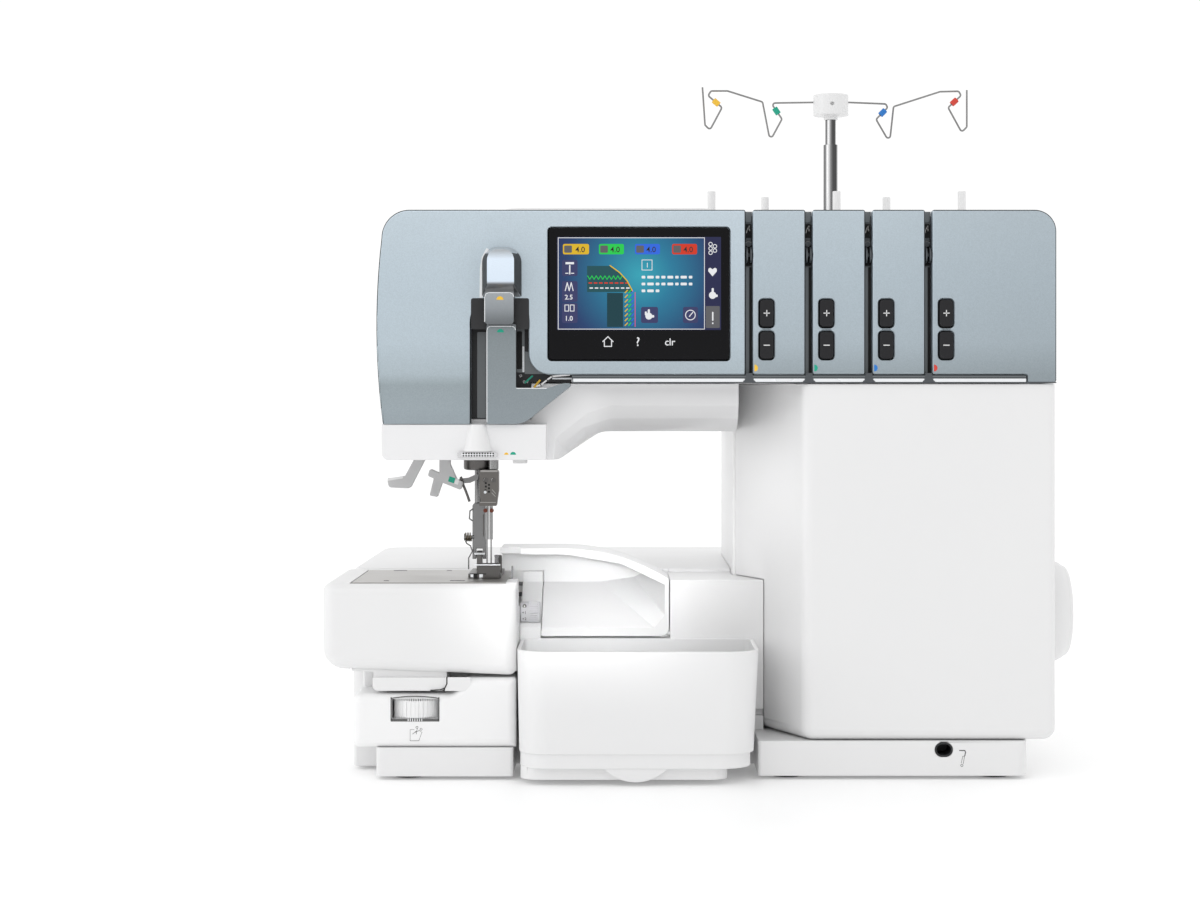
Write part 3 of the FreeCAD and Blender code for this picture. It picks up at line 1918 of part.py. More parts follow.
# The toe turns up in front of the needles.
pad(
    presser_foot,
    "YZ",
    [
        [
            (front_edge, low_edge + foot_sole - 0.4),
            (front_edge + foot_lip_thick, low_edge + foot_sole - 0.4),
            (front_edge + foot_lip_thick + 1.2, low_edge + foot_lip, 1.2),
            (front_edge + 1, low_edge + foot_lip, 1.2),
        ]
    ],
    left_edge + 5.6,
    right_edge - 0.4,
)
blade_half = 1.5
pad(
    presser_foot,
    "YZ",
    [
        [
            (-7, low_edge + foot_sole - 0.2),
            (7, low_edge + foot_sole - 0.2),
            (3, 2.4, 1),
            (-3, 2.4, 1),
        ]
    ],
    -blade_half,
    blade_half,
)
pad(presser_foot, "YZ", [Circle(0, 0, foot_pin)], 0.3 - half_shank, half_shank - 0.3)
pad(
    presser_foot,
    "XZ",
    [
        [
            (right_edge - 3.2, low_edge + 1),
            (right_edge, low_edge + 1),
            (right_edge, 1.4, 1),
            (right_edge - 3.2, 1.4, 1),
        ]
    ],
    front_edge + 12,
    front_edge + 15,
)

# ------------------------------------------------------------------ levers under the head
neck_half = lever_neck / 2
well_top = lever_pivot_z + lever_well
threader_low = head_low - threader_drop
threader_bar = threader_low + threader_rise
cut(
    arm_housing,
    "XY",
    [
        rectangle(
            lifter_x - neck_half - 6.8,
            lever_y - lever_thick / 2 - air,
            lifter_x + neck_half + 1.4,
            lever_y + lever_thick / 2 + air,
            1,
        )
    ],
    head_low - 1,
    lever_pivot_z + neck_half + 1.6,
)
cut(
    arm_housing,
    "XZ",
    [Circle(lifter_x, lever_pivot_z, lever_pin + play)],
    lever_y - lever_thick / 2 - 3.3,
    lever_y + lever_thick / 2 + 3.3,
)
lifter_lever = part("lifter_lever", lifter_x, lever_y, lever_pivot_z)
pad(
    lifter_lever,
    "XZ",
    [
        [
            (-neck_half, -6),
            (-8.8, -16.2, 1),
            (-19, -17.8, 1.5),
            (-18.2, -22.8, 2),
            (-5.8, -23.4, 2.5),
            (neck_half, -6),
            (neck_half, neck_half, 2.5),
            (-neck_half, neck_half, 2.5),
        ]
    ],
    -lever_thick / 2,
    lever_thick / 2,
)
pad(
    lifter_lever,
    "XZ",
    [Circle(0, 0, lever_pin)],
    -lever_thick / 2 - 3,
    lever_thick / 2 + 3,
)

cut(
    arm_housing,
    "XY",
    [
        rectangle(
            threader_x - neck_half - play * 2,
            lever_y - lever_thick / 2 - play * 2,
            threader_x + neck_half + play * 2,
            lever_y + lever_thick / 2 + play * 2,
        )
    ],
    head_low - 1,
    well_top + 2,
)
needle_threader_lever = part("needle_threader_lever", threader_x, lever_y, 0)
pad(
    needle_threader_lever,
    "XZ",
    [
        [
            (-8.8, threader_low + 0.8, 0.8),
            (-4.2, threader_low, 0.8),
            (-1.4, threader_bar - 0.6),
            (9.2, threader_bar - 4.8, 1),
            (10.8, threader_bar - 0.2, 1),
            (7, threader_bar + 1.4),
            (neck_half, threader_bar + 10),
            (neck_half, well_top + 1),
            (-neck_half, well_top + 1),
            (-neck_half, threader_bar + 5),
            (-8.6, threader_bar + 7.4, 1),
            (-9.8, threader_bar + 3.4, 1),
            (-6.4, threader_bar + 1.8),
        ]
    ],
    -lever_thick / 2,
    lever_thick / 2,
)

# ------------------------------------------------------------------ loopers and upper knife
lower_back = looper_y + looper_thick
upper_front = lower_back + looper_gap
hook_front = needle_y + 0.8
lower_looper = part("lower_looper")
pad(
    lower_looper,
    "XZ",
    [
        [
            (lower_hub_x - 9, bay_floor + play, 1),
            (lower_hub_x + 9, bay_floor + play, 1),
            (lower_hub_x + 9, lower_hub_z, 2),
            (lower_hub_x - 9, lower_arm_z + 2.4, 4),
            (looper_bar_x - 2.4, lower_arm_z + 2.4),
            (looper_bar_x - 2.4, lower_arm_z),
            (lower_hub_x - 16, lower_arm_z, 3),
            (lower_hub_x - 9, lower_hub_z - 2, 3),
        ]
    ],
    looper_y,
    lower_back,
)
pad(
    lower_looper,
    "XY",
    [
        [
            (looper_bar_x - 2.4, lower_back),
            (looper_bar_x - 2.4, hook_front + 2),
            (needle_x + 3, hook_front + 0.8, 0.4),
            (needle_x + 3, hook_front, 0.2),
            (looper_bar_x, hook_front),
            (looper_bar_x, lower_back),
        ]
    ],
    lower_arm_z,
    lower_arm_z + 2.4,
)

upper_looper = part("upper_looper", upper_hub_x, 0, upper_hub_z)
bar_left = looper_bar_x - 2.4 - upper_hub_x
upper_z = upper_arm_z - upper_hub_z
pad(
    upper_looper,
    "XZ",
    [
        [
            (-hub_radius, 0),
            Through(0, -hub_radius),
            (hub_radius, 0),
            Through(hub_radius * 0.7071, hub_radius * 0.7071),
            (0, hub_radius),
            (-12, upper_z + 2.2),
            (bar_left, upper_z + 2.2),
            (bar_left, upper_z),
            (-12, upper_z),
        ]
    ],
    upper_front,
    upper_front + looper_thick,
)
pad(
    upper_looper,
    "XY",
    [
        [
            (bar_left, upper_front + looper_thick),
            (bar_left, hook_front + 4.4),
            (needle_x + 2.6 - upper_hub_x, hook_front + 3.2, 0.4),
            (needle_x + 2.6 - upper_hub_x, hook_front + 2.4, 0.2),
            (bar_left + 2.4, hook_front + 2.4),
            (bar_left + 2.4, upper_front + looper_thick),
        ]
    ],
    upper_z,
    upper_z + 2.2,
)
pad(
    upper_looper,
    "XZ",
    [Circle(0, 0, hub_pin)],
    upper_front + looper_thick - 0.5,
    bed_front - seam - wall + 1.6,
)
cut(
    front_housing,
    "XZ",
    [Circle(upper_hub_x, upper_hub_z, hub_pin + play)],
    bed_front - seam - wall - 0.5,
    bed_front - seam - wall + 2,
)

upper_knife = part("upper_knife")
knife_left = plate_right + 0.2 + knife_thick
pad(
    upper_knife,
    "YZ",
    [
        [
            (needle_y - 20, pocket_low + 8),
            (needle_y - 10.5, pocket_low + 8),
            (needle_y - 10.5, bed_top + 6.5, 1),
            (needle_y - 14, bed_top + 6.5, 1),
            (needle_y - 20, bed_top - 4, 1),
        ]
    ],
    knife_left,
    knife_left + knife_thick * 0.75,
)

# ------------------------------------------------------------------ main shaft and drive
bearing_left = chamfer_right + 4
cut(
    column_housing,
    "YZ",
    [Circle(shaft_y, shaft_z, shaft_radius + play)],
    bearing_left + 1,
    bearing_left + 5,
)
main_shaft = part("main_shaft", 0, shaft_y, shaft_z)
turn(
    main_shaft,
    [
        (bearing_left + 1.3, 0),
        (bearing_left + 1.3, shaft_radius),
        (pulley_left - 8, shaft_radius),
        (pulley_left - 8, shaft_radius * 2.5, 1),
        (pulley_left - 1, shaft_radius * 2.5),
        (pulley_left - 1, pulley_radius + 2),
        (pulley_left, pulley_radius + 2),
        (pulley_left, pulley_radius),
        (pulley_left + pulley_wide, pulley_radius),
        (pulley_left + pulley_wide, pulley_radius + 2),
        (pulley_left + pulley_wide + 1, pulley_radius + 2),
        (pulley_left + pulley_wide + 1, shaft_radius),
        (column_right + 1, shaft_radius),
        (column_right + 1, 0),
    ],
    "H_Axis",
)
handwheel = part("handwheel", 0, shaft_y, shaft_z)
wheel_left = column_right + 1
turn(
    handwheel,
    [
        (wheel_left, 0),
        (wheel_left, handwheel_radius - 2.5),
        Through((wheel_left + handwheel_right) / 2 - 0.6, handwheel_radius),
        (handwheel_right - 2.4, handwheel_radius - 3.2),
        Through(handwheel_right - 0.4, handwheel_radius - 4.6),
        (handwheel_right, handwheel_radius - 7),
        (handwheel_right - 1.6, handwheel_radius - 10),
        (handwheel_right - 2, 0),
    ],
    "H_Axis",
)

# The motor stands on the cavity's floor behind the shaft and drives it by a flat belt.
cavity_floor = deck_top + wall
motor_right = motor_left + motor_long
drive_motor = part("drive_motor", 0, motor_y, motor_z)
turn(
    drive_motor,
    [
        (motor_left, 0),
        (motor_left, motor_radius - 6, 2),
        (motor_left + 4, motor_radius - 6),
        (motor_left + 4, motor_radius, 2),
        (motor_right - 4, motor_radius, 2),
        (motor_right - 4, motor_radius * 0.5),
        (motor_right, motor_radius * 0.5, 1),
        (motor_right, 0),
    ],
    "H_Axis",
)
for start in (motor_left + 6, motor_right - 16):
    pad(
        drive_motor,
        "XY",
        [rectangle(start, -motor_radius * 0.7, start + 8, motor_radius * 0.7)],
        cavity_floor - motor_z,
        -motor_radius * 0.6,
    )
cut(
    drive_motor,
    "YZ",
    [Circle(0, 0, motor_shaft + play)],
    motor_right - 12,
    motor_right + 1,
)
motor_pulley = part("motor_pulley", 0, motor_y, motor_z)
turn(
    motor_pulley,
    [
        (motor_right - 11.5, 0),
        (motor_right - 11.5, motor_shaft),
        (pulley_left - 1, motor_shaft),
        (pulley_left - 1, motor_pulley_radius + 1.5),
        (pulley_left, motor_pulley_radius + 1.5),
        (pulley_left, motor_pulley_radius),
        (pulley_left + pulley_wide, motor_pulley_radius),
        (pulley_left + pulley_wide, motor_pulley_radius + 1.5),
        (pulley_left + pulley_wide + 1, motor_pulley_radius + 1.5),
        (pulley_left + pulley_wide + 1, 0),
    ],
    "H_Axis",
)


def belt_loop(grow):
    """The closed line round both pulleys, as a face across the shafts."""
    big = V(0, float(shaft_y), float(shaft_z))
    small = V(0, float(motor_y), float(motor_z))
    big_radius = float(pulley_radius + belt_gap) + grow
    small_radius = float(motor_pulley_radius + belt_gap) + grow
    along = (small - big).normalize()
    across = V(1, 0, 0).cross(along)
    lean = (big_radius - small_radius) / (small - big).Length
    rise = math.sqrt(1 - lean * lean)
    upper, lower = along * lean + across * rise, along * lean - across * rise
    sides = [
        Part.Arc(big + lower * big_radius, big - along * big_radius, big + upper * big_radius),
        Part.LineSegment(big + upper * big_radius, small + upper * small_radius),
        Part.Arc(
            small + upper * small_radius, small + along * small_radius, small + lower * small_radius
        ),
        Part.LineSegment(small + lower * small_radius, big + lower * big_radius),
    ]
    return Part.Face(Part.Wire([side.toShape() for side in sides]))


belt_ring = belt_loop(float(belt_thick)).cut(belt_loop(0))
drive_belt = doc.addObject("Part::Feature", "drive_belt")
drive_belt.Shape = belt_ring.extrude(V(float(belt_wide), 0, 0))
drive_belt.Placement.Base = V(float(pulley_left + (pulley_wide - belt_wide) / 2), 0, 0)
drive_belt.Label = "drive_belt"
nodes.append(drive_belt)

# ------------------------------------------------------------------ waste bin
bin_low_left = bin_left + 1
bin_low_right = bin_right - 2.6
waste_bin = part("waste_bin")


def bin_outline(left, right, start, inset=0):
    """The bin seen from above: large roundings in front, small ones at the back."""
    return [
        (left + inset, start + inset, bin_front_round - inset),
        (right - inset, start + inset, bin_front_round - inset),
        (right - inset, bin_back - inset, bin_back_round - inset),
        (left + inset, bin_back - inset, bin_back_round - inset),
    ]


loft(
    waste_bin,
    "XY",
    [
        (bin_body_low, bin_outline(bin_low_left, bin_low_right, bin_front + bin_taper)),
        (bin_top, bin_outline(bin_left, bin_right, bin_front)),
    ],
    ruled=True,
)
pad(
    waste_bin,
    "XY",
    [bin_outline(bin_low_left + 0.6, bin_low_right - 1.8, bin_front + bin_taper + 1)],
    bin_band,
    bin_body_low + 0.5,
)
pad(
    waste_bin,
    "XY",
    [
        [
            (bin_low_left + 0.8, bin_front + bin_taper + 5, 10),
            (tray_right, bin_front + bin_taper + 5, 10),
            (tray_right, bin_back - 1, 2),
            (bin_low_left + 0.8, bin_back - 1, 2),
        ]
    ],
    foot_height + 1.2,
    bin_band + 0.5,
)
loft(
    waste_bin,
    "XY",
    [
        (
            bin_floor,
            bin_outline(
                bin_low_left + 0.6, bin_low_right - 1.8, bin_front + bin_taper + 1, bin_wall
            ),
        ),
        (bin_top + 0.1, bin_outline(bin_left, bin_right, bin_front, bin_wall)),
    ],
    "SubtractiveLoft",
    ruled=True,
)
pad(
    waste_bin,
    "XZ",
    [
        [
            (bump_left, bin_band + 0.4),
            (bump_right, bin_band + 0.4),
            Through((bump_left + bump_right) / 2, bin_low),
        ]
    ],
    bin_front + bin_taper + 1.6,
    bin_front + bin_taper + 12,
)
for start in (bin_low_left + 12, bin_low_right - 22):
    pad(
        waste_bin,
        "XY",
        [rectangle(start, bin_back - 1, start + 10, bin_back + bin_seat + rail_deep - 0.6)],
        rail_low + air,
        rail_high - air,
    )

# ------------------------------------------------------------------ thread stand
tube_hole = lower_tube_radius + seam
tube_floor = platform_top - platform_thick - 14
cut(column_housing, "XY", [Circle(pole_x, pole_y, tube_hole)], tube_floor, platform_top)
spool_platform = part("spool_platform")
pad(
    spool_platform,
    "XY",
    [
        [
            (platform_left, arm_back + seam),
            (platform_right, arm_back + seam),
            (platform_right, platform_back, 18),
            (platform_left, platform_back, 18),
        ],
        Circle(pole_x, pole_y, tube_hole),
    ],
    platform_top - platform_thick,
    platform_top,
)
lower_tube = part("lower_tube", pole_x, pole_y, 0)
pad(
    lower_tube,
    "XY",
    [Circle(0, 0, lower_tube_radius), Circle(0, 0, upper_tube_radius + play)],
    tube_floor,
    lower_tube_top,
)
upper_tube = part("upper_tube", pole_x, pole_y, 0)
pad(
    upper_tube,
    "XY",
    [Circle(0, 0, upper_tube_radius)],
    platform_top + 2,
    hub_low - 2.8,
)
hub_top = hub_low + hub_high
wire_z = hub_top - wire_drop
guide_hub = part("guide_hub", pole_x, pole_y, 0)
turn(
    guide_hub,
    [
        (0, hub_low - 2.8),
        (upper_tube_radius + 1, hub_low - 2.8, 0.5),
        (upper_tube_radius + 1, hub_low),
        (guide_hub_radius, hub_low, 0.8),
        (guide_hub_radius, hub_top, 0.8),
        (0, hub_top),
    ],
)
cut(
    guide_hub,
    "XZ",
    [Circle(0, (hub_low + hub_top) / 2, 1.2)],
    -guide_hub_radius - 1,
    3 - guide_hub_radius,
)

# Each guide wire leaves the hub level, makes two open eyelets and ends upright.
bend = 1.5
left_wire = [
    (pole_x - guide_hub_radius, wire_z),
    (pole_x - 39.6, wire_z - 0.4, bend),
    (pole_x - 32.3, wire_z - 11, bend),
    (pole_x - 40.2, wire_z - 25.6, bend),
    (pole_x - 45.2, wire_z + 0.3, bend),
    (pole_x - 68.4, wire_z + 7.6, bend),
    (pole_x - 79.3, wire_z + 7.6, bend),
    (pole_x - 81.3, wire_z + 4.5, bend),
    (pole_x - 72, wire_z - 3.4, bend),
    (pole_x - 80, wire_z - 18.3, bend),
    (pole_x - 83.3, wire_z - 15, bend),
    (pole_x - 85, wire_z + 10),
]
right_wire = [
    (pole_x + guide_hub_radius, wire_z),
    (pole_x + 36.4, wire_z - 1, bend),
    (pole_x + 37.7, wire_z - 3.4, bend),
    (pole_x + 30, wire_z - 11.2, bend),
    (pole_x + 39, wire_z - 26.7, bend),
    (pole_x + 41.6, wire_z - 2.8, bend),
    (pole_x + 72.4, wire_z + 7.1, bend),
    (pole_x + 84.8, wire_z + 7.4, bend),
    (pole_x + 86.3, wire_z + 4.5, bend),
    (pole_x + 77.7, wire_z - 3.4, bend),
    (pole_x + 86.7, wire_z - 19.8, bend),
    (pole_x + 90.1, wire_z - 16.3, bend),
    (pole_x + 90.1, wire_z + 8.2),
]
guide_wires = part("guide_wires", 0, pole_y, 0)
for route in (left_wire, right_wire):
    pipe(guide_wires, "XZ", route, wire_radius, "YZ", 0, (0, wire_z))

# A coloured bead marks each thread's place on a slanting stretch of wire.
bead_places = (
    (0.5, left_wire[1], left_wire[2]),
    (0.58, left_wire[7], left_wire[8]),
    (0.43, right_wire[2], right_wire[3]),
    (0.53, right_wire[8], right_wire[9]),
)
bead_rings = []
for index, (share, above, below) in enumerate(bead_places):
    high = V(float(above[0]), float(pole_y), float(above[1]))
    low = V(float(below[0]), float(pole_y), float(below[1]))
    slope = (high - low).normalize()
    ring = doc.addObject("Part::Cut", "BeadRing%d" % index)
    for name, radius in (("Base", bead_radius), ("Tool", wire_radius + seam)):
        cylinder = doc.addObject("Part::Cylinder", "Bead%s%d" % (name, index))
        bind(cylinder, "Radius", radius)
        bind(cylinder, "Height", bead_long)
        start = high + (low - high) * share - slope * (float(bead_long) / 2)
        cylinder.Placement = FreeCAD.Placement(start, FreeCAD.Rotation(V(0, 0, 1), slope))
        setattr(ring, name, cylinder)
    bead_rings.append(ring)
guide_beads = doc.addObject("Part::Compound", "guide_beads")
guide_beads.Links = bead_rings
guide_beads.Label = "guide_beads"
nodes.append(guide_beads)

spool_pins = part("spool_pins")
pin_places = [(front_pin_x + pin_pitch * index, front_pin_y) for index in range(3)]
pin_places += [(back_pin_x + pin_pitch * index, pole_y) for index in range(2)]
for x, y in pin_places:
    pad(spool_pins, "XY", [Circle(x, y, pin_radius * 2.6)], platform_top, platform_top + 2)
    pad(spool_pins, "XY", [Circle(x, y, pin_radius)], platform_top + 1, pin_top)

# ------------------------------------------------------------------ carry handle
lug_wide = 8
handle_low = body_top + handle_gap
handle_high = handle_low + handle_thick
for left in (handle_left - air - lug_wide, handle_right + air):
    pad(
        arm_housing,
        "YZ",
        [
            [
                (handle_pivot_y - 9, body_top - 1),
                (handle_pivot_y + 9, body_top - 1),
                (handle_pivot_y + 9, body_top + 1),
                (handle_pivot_y + 5, handle_high, 3),
                (handle_pivot_y - 5, handle_high, 3),
                (handle_pivot_y - 9, body_top + 1),
            ]
        ],
        left,
        left + lug_wide,
    )
handle_z = (handle_low + handle_high) / 2
for start in (handle_left - air - 5, handle_right + air - 0.2):
    cut(
        arm_housing,
        "YZ",
        [Circle(handle_pivot_y, handle_z, handle_pin + play)],
        start,
        start + 5.2,
    )
carry_handle = part("carry_handle", 0, handle_pivot_y, handle_z)
reach = handle_pivot_y - handle_front
half_thick = handle_thick / 2
pad(
    carry_handle,
    "XY",
    [
        [
            (handle_left, half_thick),
            (handle_left, -reach, 10),
            (handle_right, -reach, 10),
            (handle_right, half_thick),
            (handle_right - handle_bar, half_thick),
            (handle_right - handle_bar, handle_bar - reach, 8),
            (handle_left + handle_bar, handle_bar - reach, 8),
            (handle_left + handle_bar, half_thick),
        ]
    ],
    -half_thick,
    half_thick,
)
blend(carry_handle, 2, edges(carry_handle, y=-reach))
blend(carry_handle, half_thick * 0.8, edges(carry_handle, y=half_thick, along="X"))
for start in (handle_left - 4, handle_right - 1):
    pad(carry_handle, "YZ", [Circle(0, 0, handle_pin)], start, start + 5)

# ------------------------------------------------------------------ mains socket and switch
mains_face = pan_right + 4
mains_back = mains_face - mains_deep


def upright(y, z, wide, high, grow=0, radius=None):
    """A rectangle in the plane across X, about its middle."""
    return rectangle(
        y - wide / 2 - grow, z - high / 2 - grow, y + wide / 2 + grow, z + high / 2 + grow, radius
    )


inlet_shape = upright(inlet_y, mains_z, inlet_wide, inlet_high)
cut(rear_bed, "YZ", [inlet_shape], mains_back, mains_face + 1)
power_inlet = part("power_inlet")
pad(power_inlet, "YZ", [inlet_shape], mains_back, mains_face + 0.8)
cut(
    power_inlet,
    "YZ",
    [upright(inlet_y, mains_z, inlet_wide, inlet_high, -2, 3)],
    mains_back + 2,
    mains_face + 1,
)
for offset in (-4, 4):
    pad(
        power_inlet,
        "YZ",
        [Circle(inlet_y + offset, mains_z, 1.2)],
        mains_back + 1,
        mains_face - 3,
    )

cut(
    rear_bed,
    "YZ",
    [upright(switch_y, mains_z, switch_wide, switch_high, 0.4)],
    mains_back,
    mains_face + 1,
)
rocker_x = mains_face - 5
cut(
    rear_bed,
    "XZ",
    [Circle(rocker_x, mains_z, lever_pin + play)],
    switch_y - switch_wide / 2 - 2.5,
    switch_y + switch_wide / 2 + 2.5,
)
power_switch = part("power_switch", rocker_x, switch_y, mains_z)
half_high = switch_high / 2 - 1.2
pad(
    power_switch,
    "XZ",
    [
        [
            (-4, 0),
            (0.6, -half_high, 0.5),
            (4.6, -half_high, 0.5),
            (5.2, 0.4),
            (7.4, half_high, 0.8),
            (2.4, half_high, 0.5),
        ]
    ],
    -switch_wide / 2,
    switch_wide / 2,
)
pad(
    power_switch,
    "XZ",
    [Circle(0, 0, lever_pin)],
    -switch_wide / 2 - 2.2,
    switch_wide / 2 + 2.2,
)

# Countersunk screws hold the housings together from behind.
housing_screws = part("housing_screws")
for x, z, face, body in (
    (head_left + 16, head_low + 14, arm_back, arm_housing),
    (head_left + 16, body_top - 22, arm_back, arm_housing),
    (platform_left - 22, arm_low + 12, arm_back, arm_housing),
    (bed_left + 24, bed_top - 18, bed_back, rear_bed),
    (seam_x - 30, bed_top - 18, bed_back, rear_bed),
    (seam_x - 30, deck_top + 12, bed_back, rear_bed),
    (pan_right - 24, bed_top - 18, bed_back, rear_bed),
):
    cut(body, "XZ", [Circle(x, z, screw_radius + seam)], face - screw_deep, face + 1)
    pad(
        housing_screws,
        "XZ",
        [Circle(x, z, screw_radius)],
        face - screw_deep,
        face - screw_deep + 1.8,
    )

# ------------------------------------------------------------------ check and export
doc.recompute()
for item in doc.Objects:
    if "Invalid" in item.State or "Error" in item.State:
        raise RuntimeError(item.Name + " failed: " + str(item.State))
os.makedirs("parts", exist_ok=True)
for node in nodes:
    shape = node.Shape
    if shape.isNull() or not shape.isValid() or not shape.Solids:
        raise RuntimeError(node.Label + " has no valid solid")
    shape.exportStep("parts/" + node.Label + ".step")
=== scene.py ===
# %% [markdown]
# An overlock sewing machine, built in Blender around a finished CAD model.
# The CAD pieces have the true sizes and joints. This lesson gives them their looks: soft
# moulded edges, metallic covers, a lit touch screen, steel needles and bent wires.
# Every piece stays where the CAD has it, so it can move with the machine's joints.

# %% Load the machine
import json
import math
import bmesh
import bpy
from mathutils import Matrix, Vector


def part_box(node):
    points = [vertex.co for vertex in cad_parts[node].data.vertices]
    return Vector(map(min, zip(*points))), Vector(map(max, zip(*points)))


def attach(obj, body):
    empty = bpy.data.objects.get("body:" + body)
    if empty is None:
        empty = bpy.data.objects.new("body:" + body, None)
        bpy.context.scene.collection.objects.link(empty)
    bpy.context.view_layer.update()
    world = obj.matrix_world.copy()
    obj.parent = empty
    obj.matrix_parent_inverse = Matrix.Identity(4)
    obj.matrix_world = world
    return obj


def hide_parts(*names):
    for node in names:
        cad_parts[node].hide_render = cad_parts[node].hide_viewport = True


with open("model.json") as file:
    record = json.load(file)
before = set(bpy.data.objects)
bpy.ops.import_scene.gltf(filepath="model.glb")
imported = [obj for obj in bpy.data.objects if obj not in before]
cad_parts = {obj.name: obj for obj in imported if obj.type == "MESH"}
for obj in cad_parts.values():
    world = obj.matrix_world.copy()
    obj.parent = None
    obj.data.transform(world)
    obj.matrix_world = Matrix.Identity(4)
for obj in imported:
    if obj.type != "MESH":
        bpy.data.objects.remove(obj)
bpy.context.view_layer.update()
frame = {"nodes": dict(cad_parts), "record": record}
nodes = frame["nodes"]
home = {
    node: body for body, names in frame["record"]["behaviour"]["bodies"].items() for node in names
}
mm = 0.001

# %% [markdown]
# Light, finishes and copies are all made of nodes, so a few helpers come first. They put an
# object in the scene, add a node and join it up, start a node group, do sums and mixes, fill
# a colour ramp and open a material.

# %% Helpers
def placed(name, data):
    """A new object in the scene."""
    obj = bpy.data.objects.new(name, data)
    bpy.context.collection.objects.link(obj)
    return obj


def feed(tree, node, **links):
    """Fills inputs, named by number or by word, with plain values or joins them to sockets."""
    for key, value in links.items():
        index = int(key[1:]) if key[0] == "i" and key[1:].isdigit() else key.replace("_", " ")
        if isinstance(value, bpy.types.NodeSocket):
            tree.links.new(value, node.inputs[index])
        else:
            node.inputs[index].default_value = value
    return node


def add(tree, kind, settings=None, **links):
    """A node with plain settings and filled inputs."""
    node = tree.nodes.new(kind)
    for key, value in (settings or {}).items():
        setattr(node, key, value)
    return feed(tree, node, **links)


def group_of(kind, name, inputs, outputs):
    """An empty node group with named inputs and outputs; returns it and its two ends."""
    group = bpy.data.node_groups.new(name, kind)
    for way, labels in (("INPUT", inputs), ("OUTPUT", outputs)):
        for label, socket in labels.items():
            group.interface.new_socket(label, in_out=way, socket_type="NodeSocket" + socket)
    return group, group.nodes.new("NodeGroupInput"), group.nodes.new("NodeGroupOutput")


def maths(tree, operation, first, second):
    """The result of a sum of two numbers or sockets."""
    return add(tree, "ShaderNodeMath", {"operation": operation}, i0=first, i1=second).outputs[0]


def mixed(tree, factor, dark, light):
    """A colour between two tones."""
    tones = {"i6": (*dark, 1), "i7": (*light, 1)}
    return add(tree, "ShaderNodeMix", {"data_type": "RGBA"}, i0=factor, **tones).outputs[2]


def scaled(tree, colour, factor):
    """A colour made lighter or darker by a factor."""
    node = add(tree, "ShaderNodeVectorMath", {"operation": "SCALE"}, i0=colour, Scale=factor)
    return node.outputs[0]


def set_stops(line, stops):
    """Gives a colour ramp its stops (spot from 0 to 1, colour)."""
    for number, (spot, colour) in enumerate(stops):
        stop = line.elements[number] if number < 2 else line.elements.new(spot)
        stop.position, stop.color = spot, (*colour, 1)


def opened(material):
    """The material's tree, its Principled shader and the place on the object."""
    material.use_nodes = True
    tree = material.node_tree
    return tree, tree.nodes["Principled BSDF"], add(tree, "ShaderNodeTexCoord").outputs["Object"]


print("helpers ready")

# %% [markdown]
# The machine is seen straight from the front, from a little over a metre away, with a
# moderate telephoto lens, as in a catalogue picture. The camera stands above the middle of
# the machine and so sees a little of the table top. The shift moves the frame without
# tilting the camera, so that upright edges stay parallel.

# %% Camera
camera_data = bpy.data.cameras.new("Camera")
camera_data.lens = 70.2
picture_width = 1200
camera_data.shift_x = -20 / picture_width
camera_data.shift_y = -55 / picture_width
camera = placed("Camera", camera_data)
camera.location = (-0.0464, -1.443, 0.214)
camera.rotation_euler = (math.radians(90), 0, 0)
bpy.context.scene.camera = camera
print("camera", tuple(round(value, 3) for value in camera.location))

# %% [markdown]
# White machines are shot in a white room. The walls behind the machine are pure white and
# fall off a little behind the camera, so that the front of a white piece is a shade darker
# than the room and its outline shows. A large lamp high in front models the forms and one
# from the left gives them direction. Two small lamps lift the shade round the needles and
# under the arm, where a photographer would put a card. The floor is a wide pale plane.

# %% Light and floor
scene = bpy.context.scene
scene.view_settings.view_transform = "Standard"
world = bpy.data.worlds.new("White room")
scene.world = world
world.use_nodes = True
sky = world.node_tree.nodes["Background"]
looking = add(world.node_tree, "ShaderNodeTexCoord").outputs["Generated"]
parted = add(world.node_tree, "ShaderNodeSeparateXYZ", i0=looking)
falloff = add(
    world.node_tree, "ShaderNodeMapRange", {"interpolation_type": "SMOOTHSTEP"},
    Value=parted.outputs["Y"], i1=-0.9, i2=0.25, i3=0.86, i4=1.04,
)
world.node_tree.links.new(falloff.outputs[0], sky.inputs["Color"])
sky.inputs["Strength"].default_value = 1.0


def soft_lamp(name, place, aim, size, power):
    data = bpy.data.lights.new(name, "AREA")
    data.shape = "RECTANGLE"
    data.size, data.size_y = size
    data.energy = power
    lamp = placed(name, data)
    lamp.location = place
    lamp.rotation_euler = (Vector(aim) - Vector(place)).to_track_quat("-Z", "Y").to_euler()
    return lamp


soft_lamp("Key, high in front", (-0.4, -1.4, 1.3), (0, 0, 0.15), (1.4, 0.9), 2.6)
soft_lamp("From the left", (-1.7, -0.6, 0.6), (0, 0, 0.15), (0.9, 1.4), 3.5)
low_fill = soft_lamp("Low fill", (-0.07, -0.45, 0.15), (-0.062, -0.08, 0.1), (0.10, 0.05), 0.019)
low_fill.data.spread = math.radians(20)
under = soft_lamp("Under the arm", (-0.05, -0.11, 0.169), (0.01, -0.03, 0.11), (0.14, 0.04), 0.024)
for hidden in (low_fill, under):
    hidden.visible_camera = hidden.visible_glossy = False

floor_data = bpy.data.meshes.new("Floor")
reach = 60
corners = [(-reach, -reach, 0), (reach, -reach, 0), (reach, reach, 0), (-reach, reach, 0)]
floor_data.from_pydata(corners, [], [(0, 1, 2, 3)])
floor = placed("Floor", floor_data)
print("room and floor", 2 * reach, "m wide")

